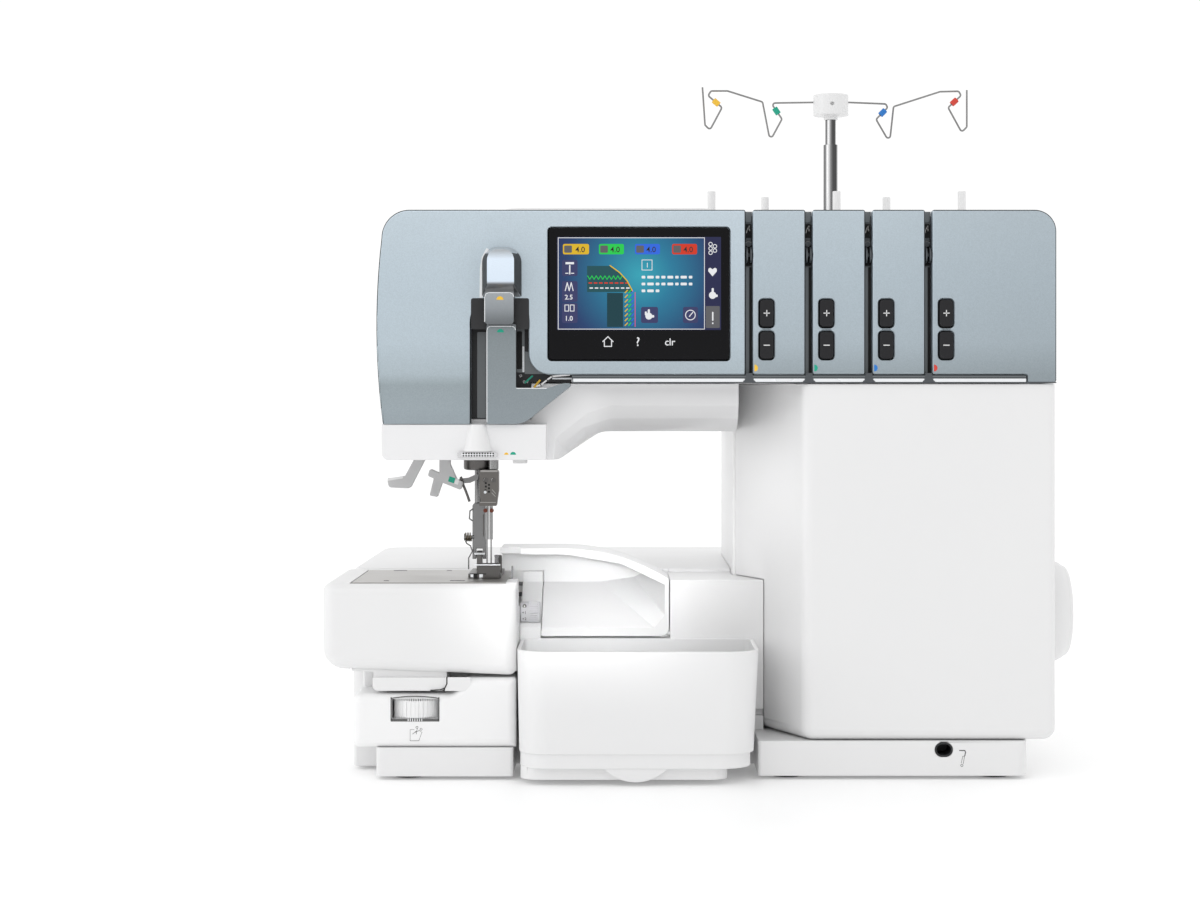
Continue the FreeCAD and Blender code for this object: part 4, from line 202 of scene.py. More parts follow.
# %% [markdown]
# A finish is a small node tree round one Principled shader. Two effects come back in many
# finishes, so each is a node group of its own. Grain is the fine texture that a steel mould
# leaves on plastic. Handling is the slow change in gloss where hands and cloths have been.

# %% Shader groups
grain, ends_in, ends_out = group_of(
    "ShaderNodeTree", "Moulded grain", {"Size": "Float", "Depth": "Float"}, {"Height": "Float"}
)
place = add(grain, "ShaderNodeTexCoord").outputs["Object"]
per_metre = maths(grain, "DIVIDE", 1.0, ends_in.outputs["Size"])
speckle = add(grain, "ShaderNodeTexNoise", Vector=place, Scale=per_metre, Detail=2.0)
height = maths(grain, "MULTIPLY", speckle.outputs[0], ends_in.outputs["Depth"])
grain.links.new(height, ends_out.inputs["Height"])

levels = {"Low": "Float", "High": "Float", "Size": "Float"}
handling, ends_in, ends_out = group_of(
    "ShaderNodeTree", "Handling", levels, {"Roughness": "Float"}
)
place = add(handling, "ShaderNodeTexCoord").outputs["Object"]
per_metre = maths(handling, "DIVIDE", 1.0, ends_in.outputs["Size"])
cloud = add(handling, "ShaderNodeTexNoise", Vector=place, Scale=per_metre, Detail=4.0)
spread = add(
    handling, "ShaderNodeMapRange", Value=cloud.outputs[0],
    i1=0.35, i2=0.65, i3=ends_in.outputs["Low"], i4=ends_in.outputs["High"],
)
handling.links.new(spread.outputs[0], ends_out.inputs["Roughness"])
print("groups:", grain.name, "and", handling.name)

# %% [markdown]
# One helper starts every finish: a colour that wanders a very little between two tones, the
# handling group on roughness and the grain group on a bump. What is the same all over, such
# as metalness or the clear coat, is set on the shader itself.

# %% The basic finish
def finish(
    name, light, dark, rough, metal=0.0, coat=0.0, grain_size=0.0012, grain_depth=0.2, shine=0.5
):
    """A named material; light and dark are the two tones it wanders between."""
    material = bpy.data.materials.new(name)
    tree, shader, place = opened(material)
    cloud = add(tree, "ShaderNodeTexNoise", Vector=place, Scale=9.0, Detail=3.0)
    tone = mixed(tree, cloud.outputs[0], dark, light)
    levels = {"Low": rough - 0.03, "High": rough + 0.05, "Size": 0.05}
    touch = add(tree, "ShaderNodeGroup", {"node_tree": handling}, **levels)
    skin = add(tree, "ShaderNodeGroup", {"node_tree": grain}, Size=grain_size, Depth=grain_depth)
    height = skin.outputs["Height"]
    bump = add(tree, "ShaderNodeBump", Strength=0.25, Distance=0.0002, Height=height)
    feed(
        tree, shader, Base_Color=tone, Metallic=metal, Roughness=touch.outputs["Roughness"],
        Normal=bump.outputs[0], Specular_IOR_Level=shine, Coat_Weight=coat, Coat_Roughness=0.08,
    )
    return material


def sleek(name, light, dark, rough, metal=1.0, shine=0.5):
    """A finish without grain, as on polished metal, glass and ink."""
    return finish(name, light, dark, rough, metal, grain_depth=0, shine=shine)


white = finish("White moulding", (0.815, 0.815, 0.815), (0.79, 0.79, 0.795), 0.38, coat=0.15)
# A lighter copy of the white paints light onto pieces that the lamps leave too dark.
white_painted_light = finish("White with painted light", (0.89, 0.89, 0.89), (0.87, 0.87, 0.875), 0.38, coat=0.15)
# The dark moulding also serves as painted shade on the hoods' sides.
dark = finish("Dark moulding and painted shade", (0.035, 0.036, 0.038), (0.02, 0.02, 0.022), 0.45, shine=0.3)
grey_dark = finish("Slot grey", (0.13, 0.14, 0.15), (0.08, 0.085, 0.09), 0.4, metal=0.3)
black_glass = sleek("Black glass", (0.006, 0.006, 0.007), (0.003, 0.003, 0.004), 0.12, 0, 0.12)
button_grey = finish("Button", (0.02, 0.02, 0.022), (0.014, 0.014, 0.016), 0.5, shine=0.2)
pale_ink = finish("Pale print", (0.8, 0.8, 0.8), (0.74, 0.74, 0.74), 0.5)
grey_ink = finish("Grey print", (0.12, 0.12, 0.12), (0.09, 0.09, 0.09), 0.6)
lever_grey = finish("Lever grey", (0.57, 0.57, 0.575), (0.51, 0.51, 0.515), 0.42)
pale_grey = finish("Pale grey plastic", (0.62, 0.62, 0.64), (0.56, 0.56, 0.58), 0.4)
rubber = finish("Rubber", (0.02, 0.02, 0.02), (0.012, 0.012, 0.012), 0.7, grain_depth=0.6)
motor_paint = finish("Motor paint", (0.09, 0.1, 0.11), (0.06, 0.065, 0.07), 0.4, metal=0.4)
polished = sleek("Polished steel", (0.72, 0.72, 0.73), (0.62, 0.62, 0.63), 0.16)
dots = {
    "yellow": finish("Yellow mark", (0.9, 0.55, 0.04), (0.85, 0.5, 0.03), 0.4),
    "green": finish("Green mark", (0.0, 0.38, 0.25), (0.0, 0.34, 0.22), 0.4),
    "blue": finish("Blue mark", (0.01, 0.2, 0.62), (0.01, 0.17, 0.55), 0.4),
    "red": finish("Red mark", (0.68, 0.05, 0.03), (0.6, 0.04, 0.02), 0.4),
}
pale_floor = finish("Pale floor", (0.95, 0.95, 0.95), (0.94, 0.94, 0.94), 0.5)
glow = pale_floor.node_tree.nodes["Principled BSDF"]
feed(pale_floor.node_tree, glow, Emission_Color=(1, 1, 1, 1), Emission_Strength=0.12)
floor_data.materials.append(pale_floor)
print(len(bpy.data.materials), "finishes so far")

# %% [markdown]
# The front covers are painted with a pale blue-grey metallic lacquer: fine flakes under a
# clear coat. The flakes are a tight noise in the colour and the lacquer is the coat layer.
# The sheet is bent back a little below its fold and runs into shade at its right end. This light
# and shade are painted in: the tone follows a ramp over the height and falls off slowly along
# the width.

# %% Metallic lacquer
shade_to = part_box("tension_panels")[1].x
shade_from = shade_to - 116.2 * mm


def lacquer(name, node, stops, rough, right=0.8):
    """Paint with painted light and shade; its colour follows stops (millimetres above the node's
    foot, colour).
    """
    low, high = (corner.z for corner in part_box(node))
    first = stops[0][1]
    material = finish(name, first, first, rough, metal=0.5, coat=0.3, grain_size=0.0005)
    tree, shader, place = opened(material)
    split = add(tree, "ShaderNodeSeparateXYZ", Vector=place)
    level = add(tree, "ShaderNodeMapRange", Value=split.outputs[2], i1=low, i2=high)
    ramp = add(tree, "ShaderNodeValToRGB", i0=level.outputs[0])
    spots = [(min(1.0, height * mm / (high - low)), colour) for height, colour in stops]
    set_stops(ramp.color_ramp, spots)
    flakes = add(tree, "ShaderNodeTexNoise", Vector=place, Scale=1800.0)
    across = add(
        tree, "ShaderNodeMapRange", {"interpolation_type": "SMOOTHSTEP"},
        Value=split.outputs[0], i1=shade_from, i2=shade_to, i3=1.0, i4=right,
    )
    sparkle = add(
        tree, "ShaderNodeMapRange", Value=flakes.outputs[0], i1=0.3, i2=0.7, i3=0.94, i4=1.06
    )
    both = maths(tree, "MULTIPLY", across.outputs[0], sparkle.outputs[0])
    feed(tree, shader, Base_Color=scaled(tree, ramp.outputs[0], both))
    return material


# Heights are millimetres above the foot; top stands for the piece's own upper end.
fold, top = 21.7, 1000
# The stops paint reflected light above the fold and shade below it.
cover_paint_lit_and_shaded = lacquer(
    "Cover lacquer with painted light and shade", "left_front_panel",
    [(0, (0.295, 0.345, 0.375)), (8.1, (0.31, 0.362, 0.393)), (fold, (0.30, 0.352, 0.378)),
     (27.6, (0.40, 0.468, 0.51)), (45.1, (0.465, 0.545, 0.60)), (82.1, (0.49, 0.575, 0.635)),
     (top, (0.535, 0.62, 0.68))],
    0.34,
)
tension_paint_lit_and_shaded = lacquer(
    "Tension lacquer with painted light and shade", "left_front_panel",
    [(0, (0.25, 0.292, 0.315)), (27.6, (0.31, 0.362, 0.393)), (45.1, (0.40, 0.468, 0.514)),
     (82.1, (0.436, 0.512, 0.565)), (top, (0.48, 0.557, 0.61))],
    0.34, right=0.89,
)
# The guard's stops paint its reflections and shade: a bright arch, dark steps between the tiers.
hood_paint_lit_and_shaded = lacquer(
    "Guard lacquer with painted light and shade", "thread_hoods",
    [(0, (0.26, 0.3, 0.325)), (53.1, (0.225, 0.26, 0.275)), (54.8, (0.13, 0.14, 0.15)),
     (58.1, (0.17, 0.187, 0.2)), (64.1, (0.28, 0.305, 0.325)), (72.1, (0.36, 0.385, 0.41)),
     (73.3, (0.11, 0.115, 0.12)), (77.3, (0.14, 0.145, 0.15)), (78.7, (0.72, 0.82, 0.93)),
     (91.1, (0.76, 0.86, 0.97)), (95.5, (0.43, 0.46, 0.49)), (top, (0.38, 0.4, 0.42))],
    0.28,
)
print("lacquer folds", fold, "mm above the foot of the covers")

# %% [markdown]
# Needle plate, foot and clamp are ground steel. Grinding leaves short parallel scratches, so
# the noise behind the bump is stretched far along one direction.

# %% Ground steel
def ground_steel(name, light, shade, rough, stretch):
    material = sleek(name, light, shade, rough)
    tree, shader, place = opened(material)
    along = add(tree, "ShaderNodeMapping", Vector=place, Scale=stretch)
    lines = add(tree, "ShaderNodeTexNoise", Vector=along.outputs[0], Scale=1.0, Detail=5.0)
    bump = add(tree, "ShaderNodeBump", Strength=0.3, Distance=0.0001, Height=lines.outputs[0])
    feed(tree, shader, Normal=bump.outputs[0])
    return material


plate_steel = ground_steel(
    "Plate steel", (0.45, 0.435, 0.42), (0.4, 0.39, 0.375), 0.33, (60, 3000, 3000)
)
foot_steel = ground_steel(
    "Foot steel", (0.25, 0.25, 0.25), (0.19, 0.19, 0.192), 0.26, (2500, 120, 2500)
)
clamp_steel = ground_steel(
    "Clamp steel", (0.185, 0.175, 0.165), (0.14, 0.133, 0.126), 0.32, (2500, 2500, 150)
)
tool_steel = ground_steel(
    "Tool steel", (0.36, 0.36, 0.37), (0.3, 0.3, 0.31), 0.25, (2500, 2500, 150)
)
print("ground steels made")

# %% [markdown]
# CAD edges are perfectly sharp, and real moulded or machined edges never are. The CAD
# meshes also arrive as loose triangles. This helper copies a CAD node, welds and cleans the
# copy, and rounds each sharp edge that has room for it with a bevel, which catches the light
# as a real edge does.

# %% Rounded copies of CAD nodes
def plain_mesh(shape, name):
    """The open shape as a plain mesh."""
    mesh = bpy.data.meshes.new(name)
    shape.to_mesh(mesh)
    shape.free()
    return mesh


def piece_of(name, mesh, body, material=None):
    """A finished object: it sits at the origin, rides on its body and has one finish."""
    obj = placed(name, mesh)
    if material is not None:
        mesh.materials.clear()
        mesh.materials.append(material)
    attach(obj, body)
    return obj


def settled(obj):
    """The object's mesh with all its modifiers worked in, as a plain mesh."""
    graph = bpy.context.evaluated_depsgraph_get()
    mesh = bpy.data.meshes.new_from_object(obj.evaluated_get(graph))
    bpy.data.objects.remove(obj)
    return mesh


def smooth(mesh, angle=32):
    mesh.shade_smooth()
    mesh.set_sharp_from_angle(angle=math.radians(angle))


def cleaned(node):
    """A welded copy of a CAD node with its flat faces joined up again, open for editing."""
    shape = bmesh.new()
    shape.from_mesh(nodes[node].data)
    bmesh.ops.remove_doubles(shape, verts=shape.verts, dist=1e-5)
    bmesh.ops.dissolve_degenerate(shape, edges=shape.edges, dist=1e-6)
    bmesh.ops.dissolve_limit(
        shape, angle_limit=math.radians(0.5), verts=shape.verts, edges=shape.edges
    )
    return shape


def roomy_edges(shape, width, angle):
    """Sharp edges whose neighbours leave room for a bevel of this width."""
    chosen = []
    for edge in shape.edges:
        if len(edge.link_faces) != 2 or edge.calc_face_angle(0) < math.radians(angle):
            continue
        if all(has_room(edge, vert, width) for vert in edge.verts):
            chosen.append(edge)
    return chosen


def has_room(edge, vert, width):
    """Does every other edge at this end run on in line, or lead far enough away?"""
    ahead = (edge.other_vert(vert).co - vert.co).normalized()
    for other in vert.link_edges:
        if other is edge:
            continue
        run = other.other_vert(vert).co - vert.co
        if run.length < 1e-9:
            return False
        turn = ahead.dot(run.normalized())
        across = run.length * math.sqrt(max(1e-6, 1 - turn * turn))
        if turn > -0.94 and across < 1.15 * width:
            return False
    return True


def weighted(mesh):
    """Smooth shading that keeps flat faces flat: large faces steer the normals at an edge."""
    smooth(mesh, 42)
    draft = placed("draft", mesh)
    lean = draft.modifiers.new("Lean", "WEIGHTED_NORMAL")
    lean.mode = "FACE_AREA"
    lean.keep_sharp = True
    return settled(draft)


def rounded(node, material, width=0.4, angle=28, segments=3, paint=None):
    """Replaces a CAD node by a copy with rounded edges; width is in millimetres.

    paint, if given, takes a face and says which of the materials it gets.
    """
    shape = cleaned(node)
    rims = roomy_edges(shape, width * mm, angle)
    bmesh.ops.bevel(
        shape, geom=rims, offset=width * mm, offset_type="OFFSET", segments=segments,
        profile=0.5, affect="EDGES", clamp_overlap=False,
    )
    shape.normal_update()
    if paint:
        for face in shape.faces:
            face.material_index = paint(face)
    mesh = plain_mesh(shape, node + "_form")
    coats = material if isinstance(material, (list, tuple)) else [material]
    for coat in coats:
        mesh.materials.append(coat)
    mesh = weighted(mesh)
    obj = piece_of(node + "_form", mesh, home[node])
    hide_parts(node)
    return obj

# %% [markdown]
# The long arm between head and column is one moulding with the head. Its lower front leans
# back, away from the lamp, so it looks darker than the upright head beside it. That shade is
# painted in: the finish is the head's own white, made darker by height, and only to the right
# of the head.

# %% Arm finish
arm_white_painted_shade = finish("Arm white with painted shade", (0.82, 0.82, 0.825), (0.8, 0.8, 0.81), 0.42)
tree, arm_shader, place = opened(arm_white_painted_shade)
base_tone = arm_shader.inputs["Base Color"].links[0].from_socket
split = add(tree, "ShaderNodeSeparateXYZ", Vector=place)
head_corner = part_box("head_cover")[0]
lean_low, lean_high, lean_end = (head_corner.z + height * mm for height in (16.2, 38.7, 40.7))
# Painted shade: the white darkens towards the lower edge of the leaning front.
lean = add(
    tree, "ShaderNodeMapRange", Value=split.outputs[2], i1=lean_low, i2=lean_high, i3=0.80, i4=0.92
)
band = add(tree, "ShaderNodeMapRange", Value=split.outputs[2], i1=lean_high, i2=lean_end)
upper = add(tree, "ShaderNodeMix", i0=band.outputs[0], i2=lean.outputs[0], i3=1.0)
on_arm = add(
    tree, "ShaderNodeMapRange", {"interpolation_type": "SMOOTHSTEP"},
    Value=split.outputs[0], i1=head_corner.x + 113 * mm, i2=head_corner.x + 133 * mm,
)
shade = add(tree, "ShaderNodeMix", i0=on_arm.outputs[0], i2=1.0, i3=upper.outputs[0])
feed(tree, arm_shader, Base_Color=scaled(tree, base_tone, shade.outputs[0]))
print("arm shade runs over", round((lean_high - lean_low) / mm, 1), "mm")

# %% [markdown]
# Most of the housing is white moulded plastic with small even roundings. A table of nodes
# and edge radii says how each piece is finished; the larger the moulding, the softer its edge.

# %% White housing
housing = {
    "base_pan": 0.6, "left_base": 0.4, "rear_bed": 0.4, "front_housing": 0.4,
    "column_housing": 0.4, "right_front_cover": 0.8, "arm_housing": 0.4, "head_cover": 0.4,
    "extension_table": 0.4, "free_arm": 0.3, "looper_cover": 0.4, "spool_platform": 0.8,
    "carry_handle": 0.4, "handwheel": 0.4, "spool_pins": 0.4, "guide_hub": 0.4,
}
# The head gets the arm white with its painted shade; the others get the lighter white as painted
# light.
own = {"head_cover": arm_white_painted_shade, "column_housing": white_painted_light, "arm_housing": white_painted_light,
       "left_base": white_painted_light}
for node, edge in housing.items():
    rounded(node, own.get(node, white), edge)
rounded("waste_bin", white, 0.25, angle=50)
for node in ("lifter_lever", "needle_threader_lever"):
    rounded(node, lever_grey, 0.4)
print(len(housing) + 3, "moulded pieces")

# %% [markdown]
# The thread hoods shine only on their fronts. Their sides fall away into the dark channel,
# so each face gets its paint from the way it looks: forwards and up it is lacquered, and
# towards the channel it gets dark paint as painted shade. The covers' rims also get a thin
# band of painted shade where they turn up or to the right.

# %% Metallic covers and hoods, with painted shade on their rims and sides
near_left_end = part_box("left_front_panel")[0].x + 20 * mm


def shaded_rim_faces(face):
    """1 for painted shade on the sheet's rounded rim: turned up, to the right, or outwards at the
    left end.
    """
    turned = -0.82 < face.normal.y < -0.1
    outside = face.normal.x < -0.5 and face.calc_center_median().x < near_left_end
    return 1 if turned and (face.normal.z > 0.35 or face.normal.x > 0.5 or outside) else 0


rim_shade_paint = finish("Painted rim shade", (0.03, 0.034, 0.037), (0.02, 0.023, 0.025), 0.5, shine=0.15)
for node, paint in (("left_front_panel", cover_paint_lit_and_shaded), ("tension_panels", tension_paint_lit_and_shaded)):
    rounded(node, [paint, rim_shade_paint], 1.2, paint=shaded_rim_faces)


def hood_side_shade(face):
    """1 for the upright sides of the hoods, which get dark paint as painted shade."""
    return 1 if abs(face.normal.x) > 0.55 and face.normal.z < 0.6 else 0


rounded("thread_hoods", [hood_paint_lit_and_shaded, dark], 0.3, angle=40, paint=hood_side_shade)
rounded("thread_channel", dark, 0.2)
rounded("thread_funnel", white, 0.4)
for kind in ("plus", "minus"):
    for number in range(1, 5):
        rounded("%s_button_%d" % (kind, number), button_grey, 0.4)

# %% Metal, rubber and small parts
lip_steel = ground_steel(
    "Lip steel", (0.16, 0.155, 0.15), (0.1, 0.097, 0.093), 0.36, (150, 2500, 2500)
)
needle_steel = sleek("Needle steel", (0.36, 0.36, 0.36), (0.26, 0.26, 0.26), 0.2)
small = {
    "needle_plate": (plate_steel, 0.15),
    "feed_dogs": (tool_steel, 0.1), "presser_foot": (lip_steel, 0.25),
    "presser_bar": (foot_steel, 0.3), "needle_clamp": (clamp_steel, 0.4),
    "needle_bar": (needle_steel, 0.2), "needles": (needle_steel, 0.02),
    "lower_looper": (tool_steel, 0.15), "upper_looper": (tool_steel, 0.15),
    "upper_knife": (tool_steel, 0.1), "main_shaft": (foot_steel, 0.3),
    "motor_pulley": (foot_steel, 0.3),
    "housing_screws": (polished, 0.3), "rubber_feet": (rubber, 0.4),
    "drive_belt": (rubber, 0.2), "knee_lift_socket": (dark, 0.2),
    "power_inlet": (dark, 0.4), "power_switch": (dark, 0.4), "micro_dial": (pale_grey, 0.1),
    # The width wheel gets the lighter white as painted light against the shade of its window.
    "cutting_width_wheel": (white_painted_light, 0.1), "work_lamp": (pale_ink, 0.3),
    "drive_motor": (motor_paint, 0.4), "screen_glass": (black_glass, 0.4),
}
for node, (material, edge) in small.items():
    rounded(node, material, edge)
shown = [node for node in nodes if not nodes[node].hide_render]
print("left as they are:", shown)

# %% [markdown]
# Prints, lit signs and small inlays are all the same kind of thing: flat outlines a few
# tenths of a millimetre thick on a face that looks forwards. Outlines are (x, z) points in
# millimetres, measured from the lower left corner of the CAD piece that carries them, and
# each stands a little proud of that piece's front. Prisms of one colour make one piece.

# %% Flat outlines
def disc(x, z, radius, start=0, stop=360, points=28):
    """Points round a circle, or along an arc from start to stop in degrees."""
    whole = abs(stop - start) >= 360
    steps = [start + (stop - start) * i / (points if whole else points - 1) for i in range(points)]
    turns = [math.radians(a) for a in steps]
    return [(x + radius * math.cos(a), z + radius * math.sin(a)) for a in turns]


def tile(left, low, right, high, radius=0.0):
    """A rectangle with rounded corners."""
    if radius <= 0:
        return [(left, low), (right, low), (right, high), (left, high)]
    corners = (
        (right - radius, low + radius, 270), (right - radius, high - radius, 0),
        (left + radius, high - radius, 90), (left + radius, low + radius, 180),
    )
    return [p for x, z, a in corners for p in disc(x, z, radius, a, a + 90, 6)]


def stroke(points, width):
    """A line with square ends drawn as one slim outline per stretch."""
    slim = []
    for (x1, z1), (x2, z2) in zip(points, points[1:]):
        along = Vector((x2 - x1, z2 - z1)).normalized() * width / 2
        side = Vector((-along.y, along.x))
        start, stop = Vector((x1, z1)) - along * 0.6, Vector((x2, z2)) + along * 0.6
        slim.append([tuple(p) for p in (start - side, stop - side, stop + side, start + side)])
    return slim


def circled(x, z, radius, points, width):
    """A drawn circle."""
    return stroke(disc(x, z, radius, points=points) + [(x + radius, z)], width)


def frame_of(left, low, right, high, width):
    """The four sides of a rectangular frame."""
    corners = [(left, low), (right, low), (right, high), (left, high), (left, low)]
    return stroke(corners, width)


def prism(shape, outline, front, thick):
    """Adds one closed prism to the open mesh; front and thick are in millimetres along y."""
    area = sum(a[0] * b[1] - b[0] * a[1] for a, b in zip(outline, outline[1:] + outline[:1]))
    if area < 0:
        outline = outline[::-1]
    near = [shape.verts.new((x * mm, front * mm, z * mm)) for x, z in outline]
    far = [shape.verts.new((x * mm, (front + thick) * mm, z * mm)) for x, z in outline]
    shape.faces.new(near)
    shape.faces.new(far[::-1])
    count = len(outline)
    for i in range(count):
        j = (i + 1) % count
        shape.faces.new((near[i], far[i], far[j], near[j]))


def corner_of(node):
    """Lower left front corner of a CAD piece, to a tenth of a millimetre."""
    return Vector([round(c / mm, 1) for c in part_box(node)[0]])


def outlined(outlines, corner, proud, thick):
    """A plain mesh of flat prisms whose faces stand proud of the corner."""
    shape = bmesh.new()
    for outline in outlines:
        placed = [(x + corner.x, z + corner.z) for x, z in outline]
        prism(shape, placed, corner.y - proud, thick)
    return plain_mesh(shape, "outline")


def inlay(name, outlines, corner, proud, material, body="machine", thick=0.3):
    """All outlines as one thin piece on the given body."""
    return piece_of(name, outlined(outlines, corner, proud, thick), body, material)


font_to_letter = 1.38  # The size of the plain font over the height of its capital letters.


def lettering(text, x, z, height, bold):
    """A short sign as a thin mesh, in millimetres, its lower left corner at x, z."""
    curve = bpy.data.curves.new("sign", "FONT")
    curve.body = text
    curve.size = height * font_to_letter * mm
    curve.extrude = 0.1 * mm
    curve.offset = 0.05 * mm if bold else 0.0
    curve.resolution_u = 3
    mesh = settled(placed("sign", curve))
    mesh.transform(Matrix.Rotation(math.radians(90), 4, "X"))
    mesh.transform(Matrix.Translation((x * mm, 0, z * mm)))
    return mesh


def signs(name, words, corner, proud, material, body="machine"):
    """Several short signs (text, x, z, height, bold) as one piece."""
    shape = bmesh.new()
    for text, x, z, height, bold in words:
        mesh = lettering(text, corner.x + x, corner.z + z, height, bold)
        mesh.transform(Matrix.Translation((0, (corner.y - proud + 0.1) * mm, 0)))
        shape.from_mesh(mesh)
    bmesh.ops.remove_doubles(shape, verts=shape.verts, dist=1e-7)
    return piece_of(name, plain_mesh(shape, name), body, material)


glass = corner_of("screen_glass")
print("glass front at y =", round(glass.y, 2), "mm")

# %% [markdown]
# The display lights itself. Its colours are emission on a black base, so that they stay rich
# in a bright room. The backdrop is a round glow: bright teal near the middle that falls
# through blue to navy, worked out from the distance to the glow's centre.

# %% Lit finishes
def lit(name, colour):
    """A plain lit colour with the faint unevenness of a backlight."""
    material = bpy.data.materials.new(name)
    tree, shader, place = opened(material)
    cloud = add(tree, "ShaderNodeTexNoise", Vector=place, Scale=30.0)
    tone = mixed(tree, cloud.outputs[0], [c * 0.9 for c in colour], colour)
    feed(
        tree, shader, Base_Color=(0.01, 0.01, 0.01, 1), Roughness=0.3, Specular_IOR_Level=0.08,
        Emission_Strength=1.0, Emission_Color=tone,
    )
    return material


def glowing(name, centre, reach, stops):
    """A lit backdrop whose colour depends on the distance from a centre on the display."""
    material = lit(name, stops[0][1])
    tree, shader, place = opened(material)
    shift = add(
        tree, "ShaderNodeMapping", Vector=place,
        Location=tuple(-c / reach for c in centre), Scale=(1 / reach, 0, 1 / reach),
    )
    far = add(tree, "ShaderNodeVectorMath", {"operation": "LENGTH"}, i0=shift.outputs[0])
    ramp = add(tree, "ShaderNodeValToRGB", i0=far.outputs[1])
    set_stops(ramp.color_ramp, stops)
    feed(tree, shader, Emission_Color=ramp.outputs[0])
    return material


teal_glow = glowing(
    "Display glow", ((glass.x + 50.5) * mm, 0, (glass.z + 46.9) * mm), 0.052,
    [(0.0, (0.035, 0.36, 0.46)), (0.35, (0.02, 0.19, 0.32)), (0.8, (0.018, 0.05, 0.15)),
     (1.0, (0.02, 0.03, 0.10))],
)
navy = lit("Display navy", (0.02, 0.022, 0.075))
tile_blue = lit("Display tile", (0.045, 0.05, 0.14))
tile_grey = lit("Display grey tile", (0.12, 0.12, 0.13))
sign_white = lit("Display white", (0.85, 0.86, 0.88))
cloth_teal = lit("Display cloth", (0.015, 0.085, 0.10))
cloth_back = lit("Display cloth back", (0.008, 0.05, 0.065))
lit_yellow = lit("Display yellow", (0.75, 0.48, 0.02))
lit_green = lit("Display green", (0.02, 0.62, 0.08))
lit_blue = lit("Display blue", (0.03, 0.14, 0.75))
lit_red = lit("Display red", (0.66, 0.04, 0.015))
lit_pink = lit("Display pink", (0.6, 0.1, 0.3))
ink_black = sleek("Chip ink", (0.01, 0.01, 0.01), (0.008, 0.008, 0.008), 0.5, 0)
print("lit finishes made")

# %% [markdown]
# The screen shows what such a machine's screen shows: four tension chips with numbers, a
# column of settings at the left, a drawing of the chosen stitch on cloth, three lines that
# stand for the stitch's name, and a column of function tiles. Layers lie a few hundredths of
# a millimetre apart.

# %% Display background
def on_display(name, outlines, proud, material, thick=0.3):
    inlay(name, outlines, glass, proud, material, thick=thick)


on_display("display_ground", [tile(4.4, 16.4, 95.5, 68.1, 0.4)], 0.07, navy)
on_display("display_glow", [tile(5.2, 17, 86.2, 67.5, 1.6)], 0.11, teal_glow)
on_display("display_rim", frame_of(5.1, 16.9, 86.3, 67.6, 0.35), 0.13, sign_white, 0.2)
chips = ((7.7, 22.2, lit_yellow), (27.7, 41.6, lit_green), (47.7, 61.6, lit_blue),
         (68.3, 82.2, lit_red))
for number, (left, right, colour) in enumerate(chips, 1):
    on_display("chip_%d" % number, [tile(left, 58.4, right, 64.2, 1.0)], 0.16, colour)
squares = [tile(left + 0.7, 59.3, left + 5, 63.3, 0.6) for left, _, _ in chips]
on_display("chip_squares", squares, 0.18, tile_grey, 0.2)
chip_words = [("4.0", right - 7.6, 59.6, 3.2, True) for _, right, _ in chips]
signs("chip_numbers", chip_words, glass, 0.19, ink_black)
print("display ground, glow and", len(chips), "chips")

# %% Stitch drawing
cloth = [(21.1, 37.5), (46.6, 37.5), (43.4, 43.7), (39.4, 48.1), (34, 52), (21.1, 52)]
on_display("stitch_cloth", [cloth], 0.15, cloth_teal)
on_display("stitch_cloth_edge", [tile(32.2, 18.1, 41.1, 37)], 0.14, cloth_back)
row = [22.2 + 2.9 * i for i in range(8)]
dashed = ("red", 0, 42.5, 0.75, lit_red), ("white", 0.5, 39.7, 0.7, sign_white)
for colour, start, z, width, glow in dashed:
    dashes = [s for x in row for s in stroke([(x + start, z), (x + start + 1.5, z)], width)]
    on_display("stitches_" + colour, dashes, 0.18, glow)
zigzag = [(21.4 + 1.2 * i, 44.5 if i % 2 else 46.5) for i in range(17)]
on_display("stitches_green", stroke(zigzag, 0.45), 0.18, lit_green)
slant = [(46.4, 37.9), (43.2, 43.9), (39.2, 48.3), (33.8, 52.2)]
on_display("stitches_edge", stroke(slant, 0.6), 0.18, lit_yellow)
ladder = [18.9 + 2.6 * i for i in range(8)]
rungs = (("yellow", 42.2, 43.6, lit_yellow), ("green", 44.2, 45.4, lit_green),
         ("blue", 46, 46.9, lit_blue))
for colour, left, right, glow in rungs:
    steps = [s for z in ladder for s in stroke([(left, z), (right, z + 1.4)], 0.6)]
    on_display("stitches_side_" + colour, steps, 0.18, glow)
on_display("stitches_pink", stroke([(47.8, 18.3), (47.8, 37.3)], 0.5), 0.18, lit_pink)
print("stitch drawing with", len(row), "stitches a row")

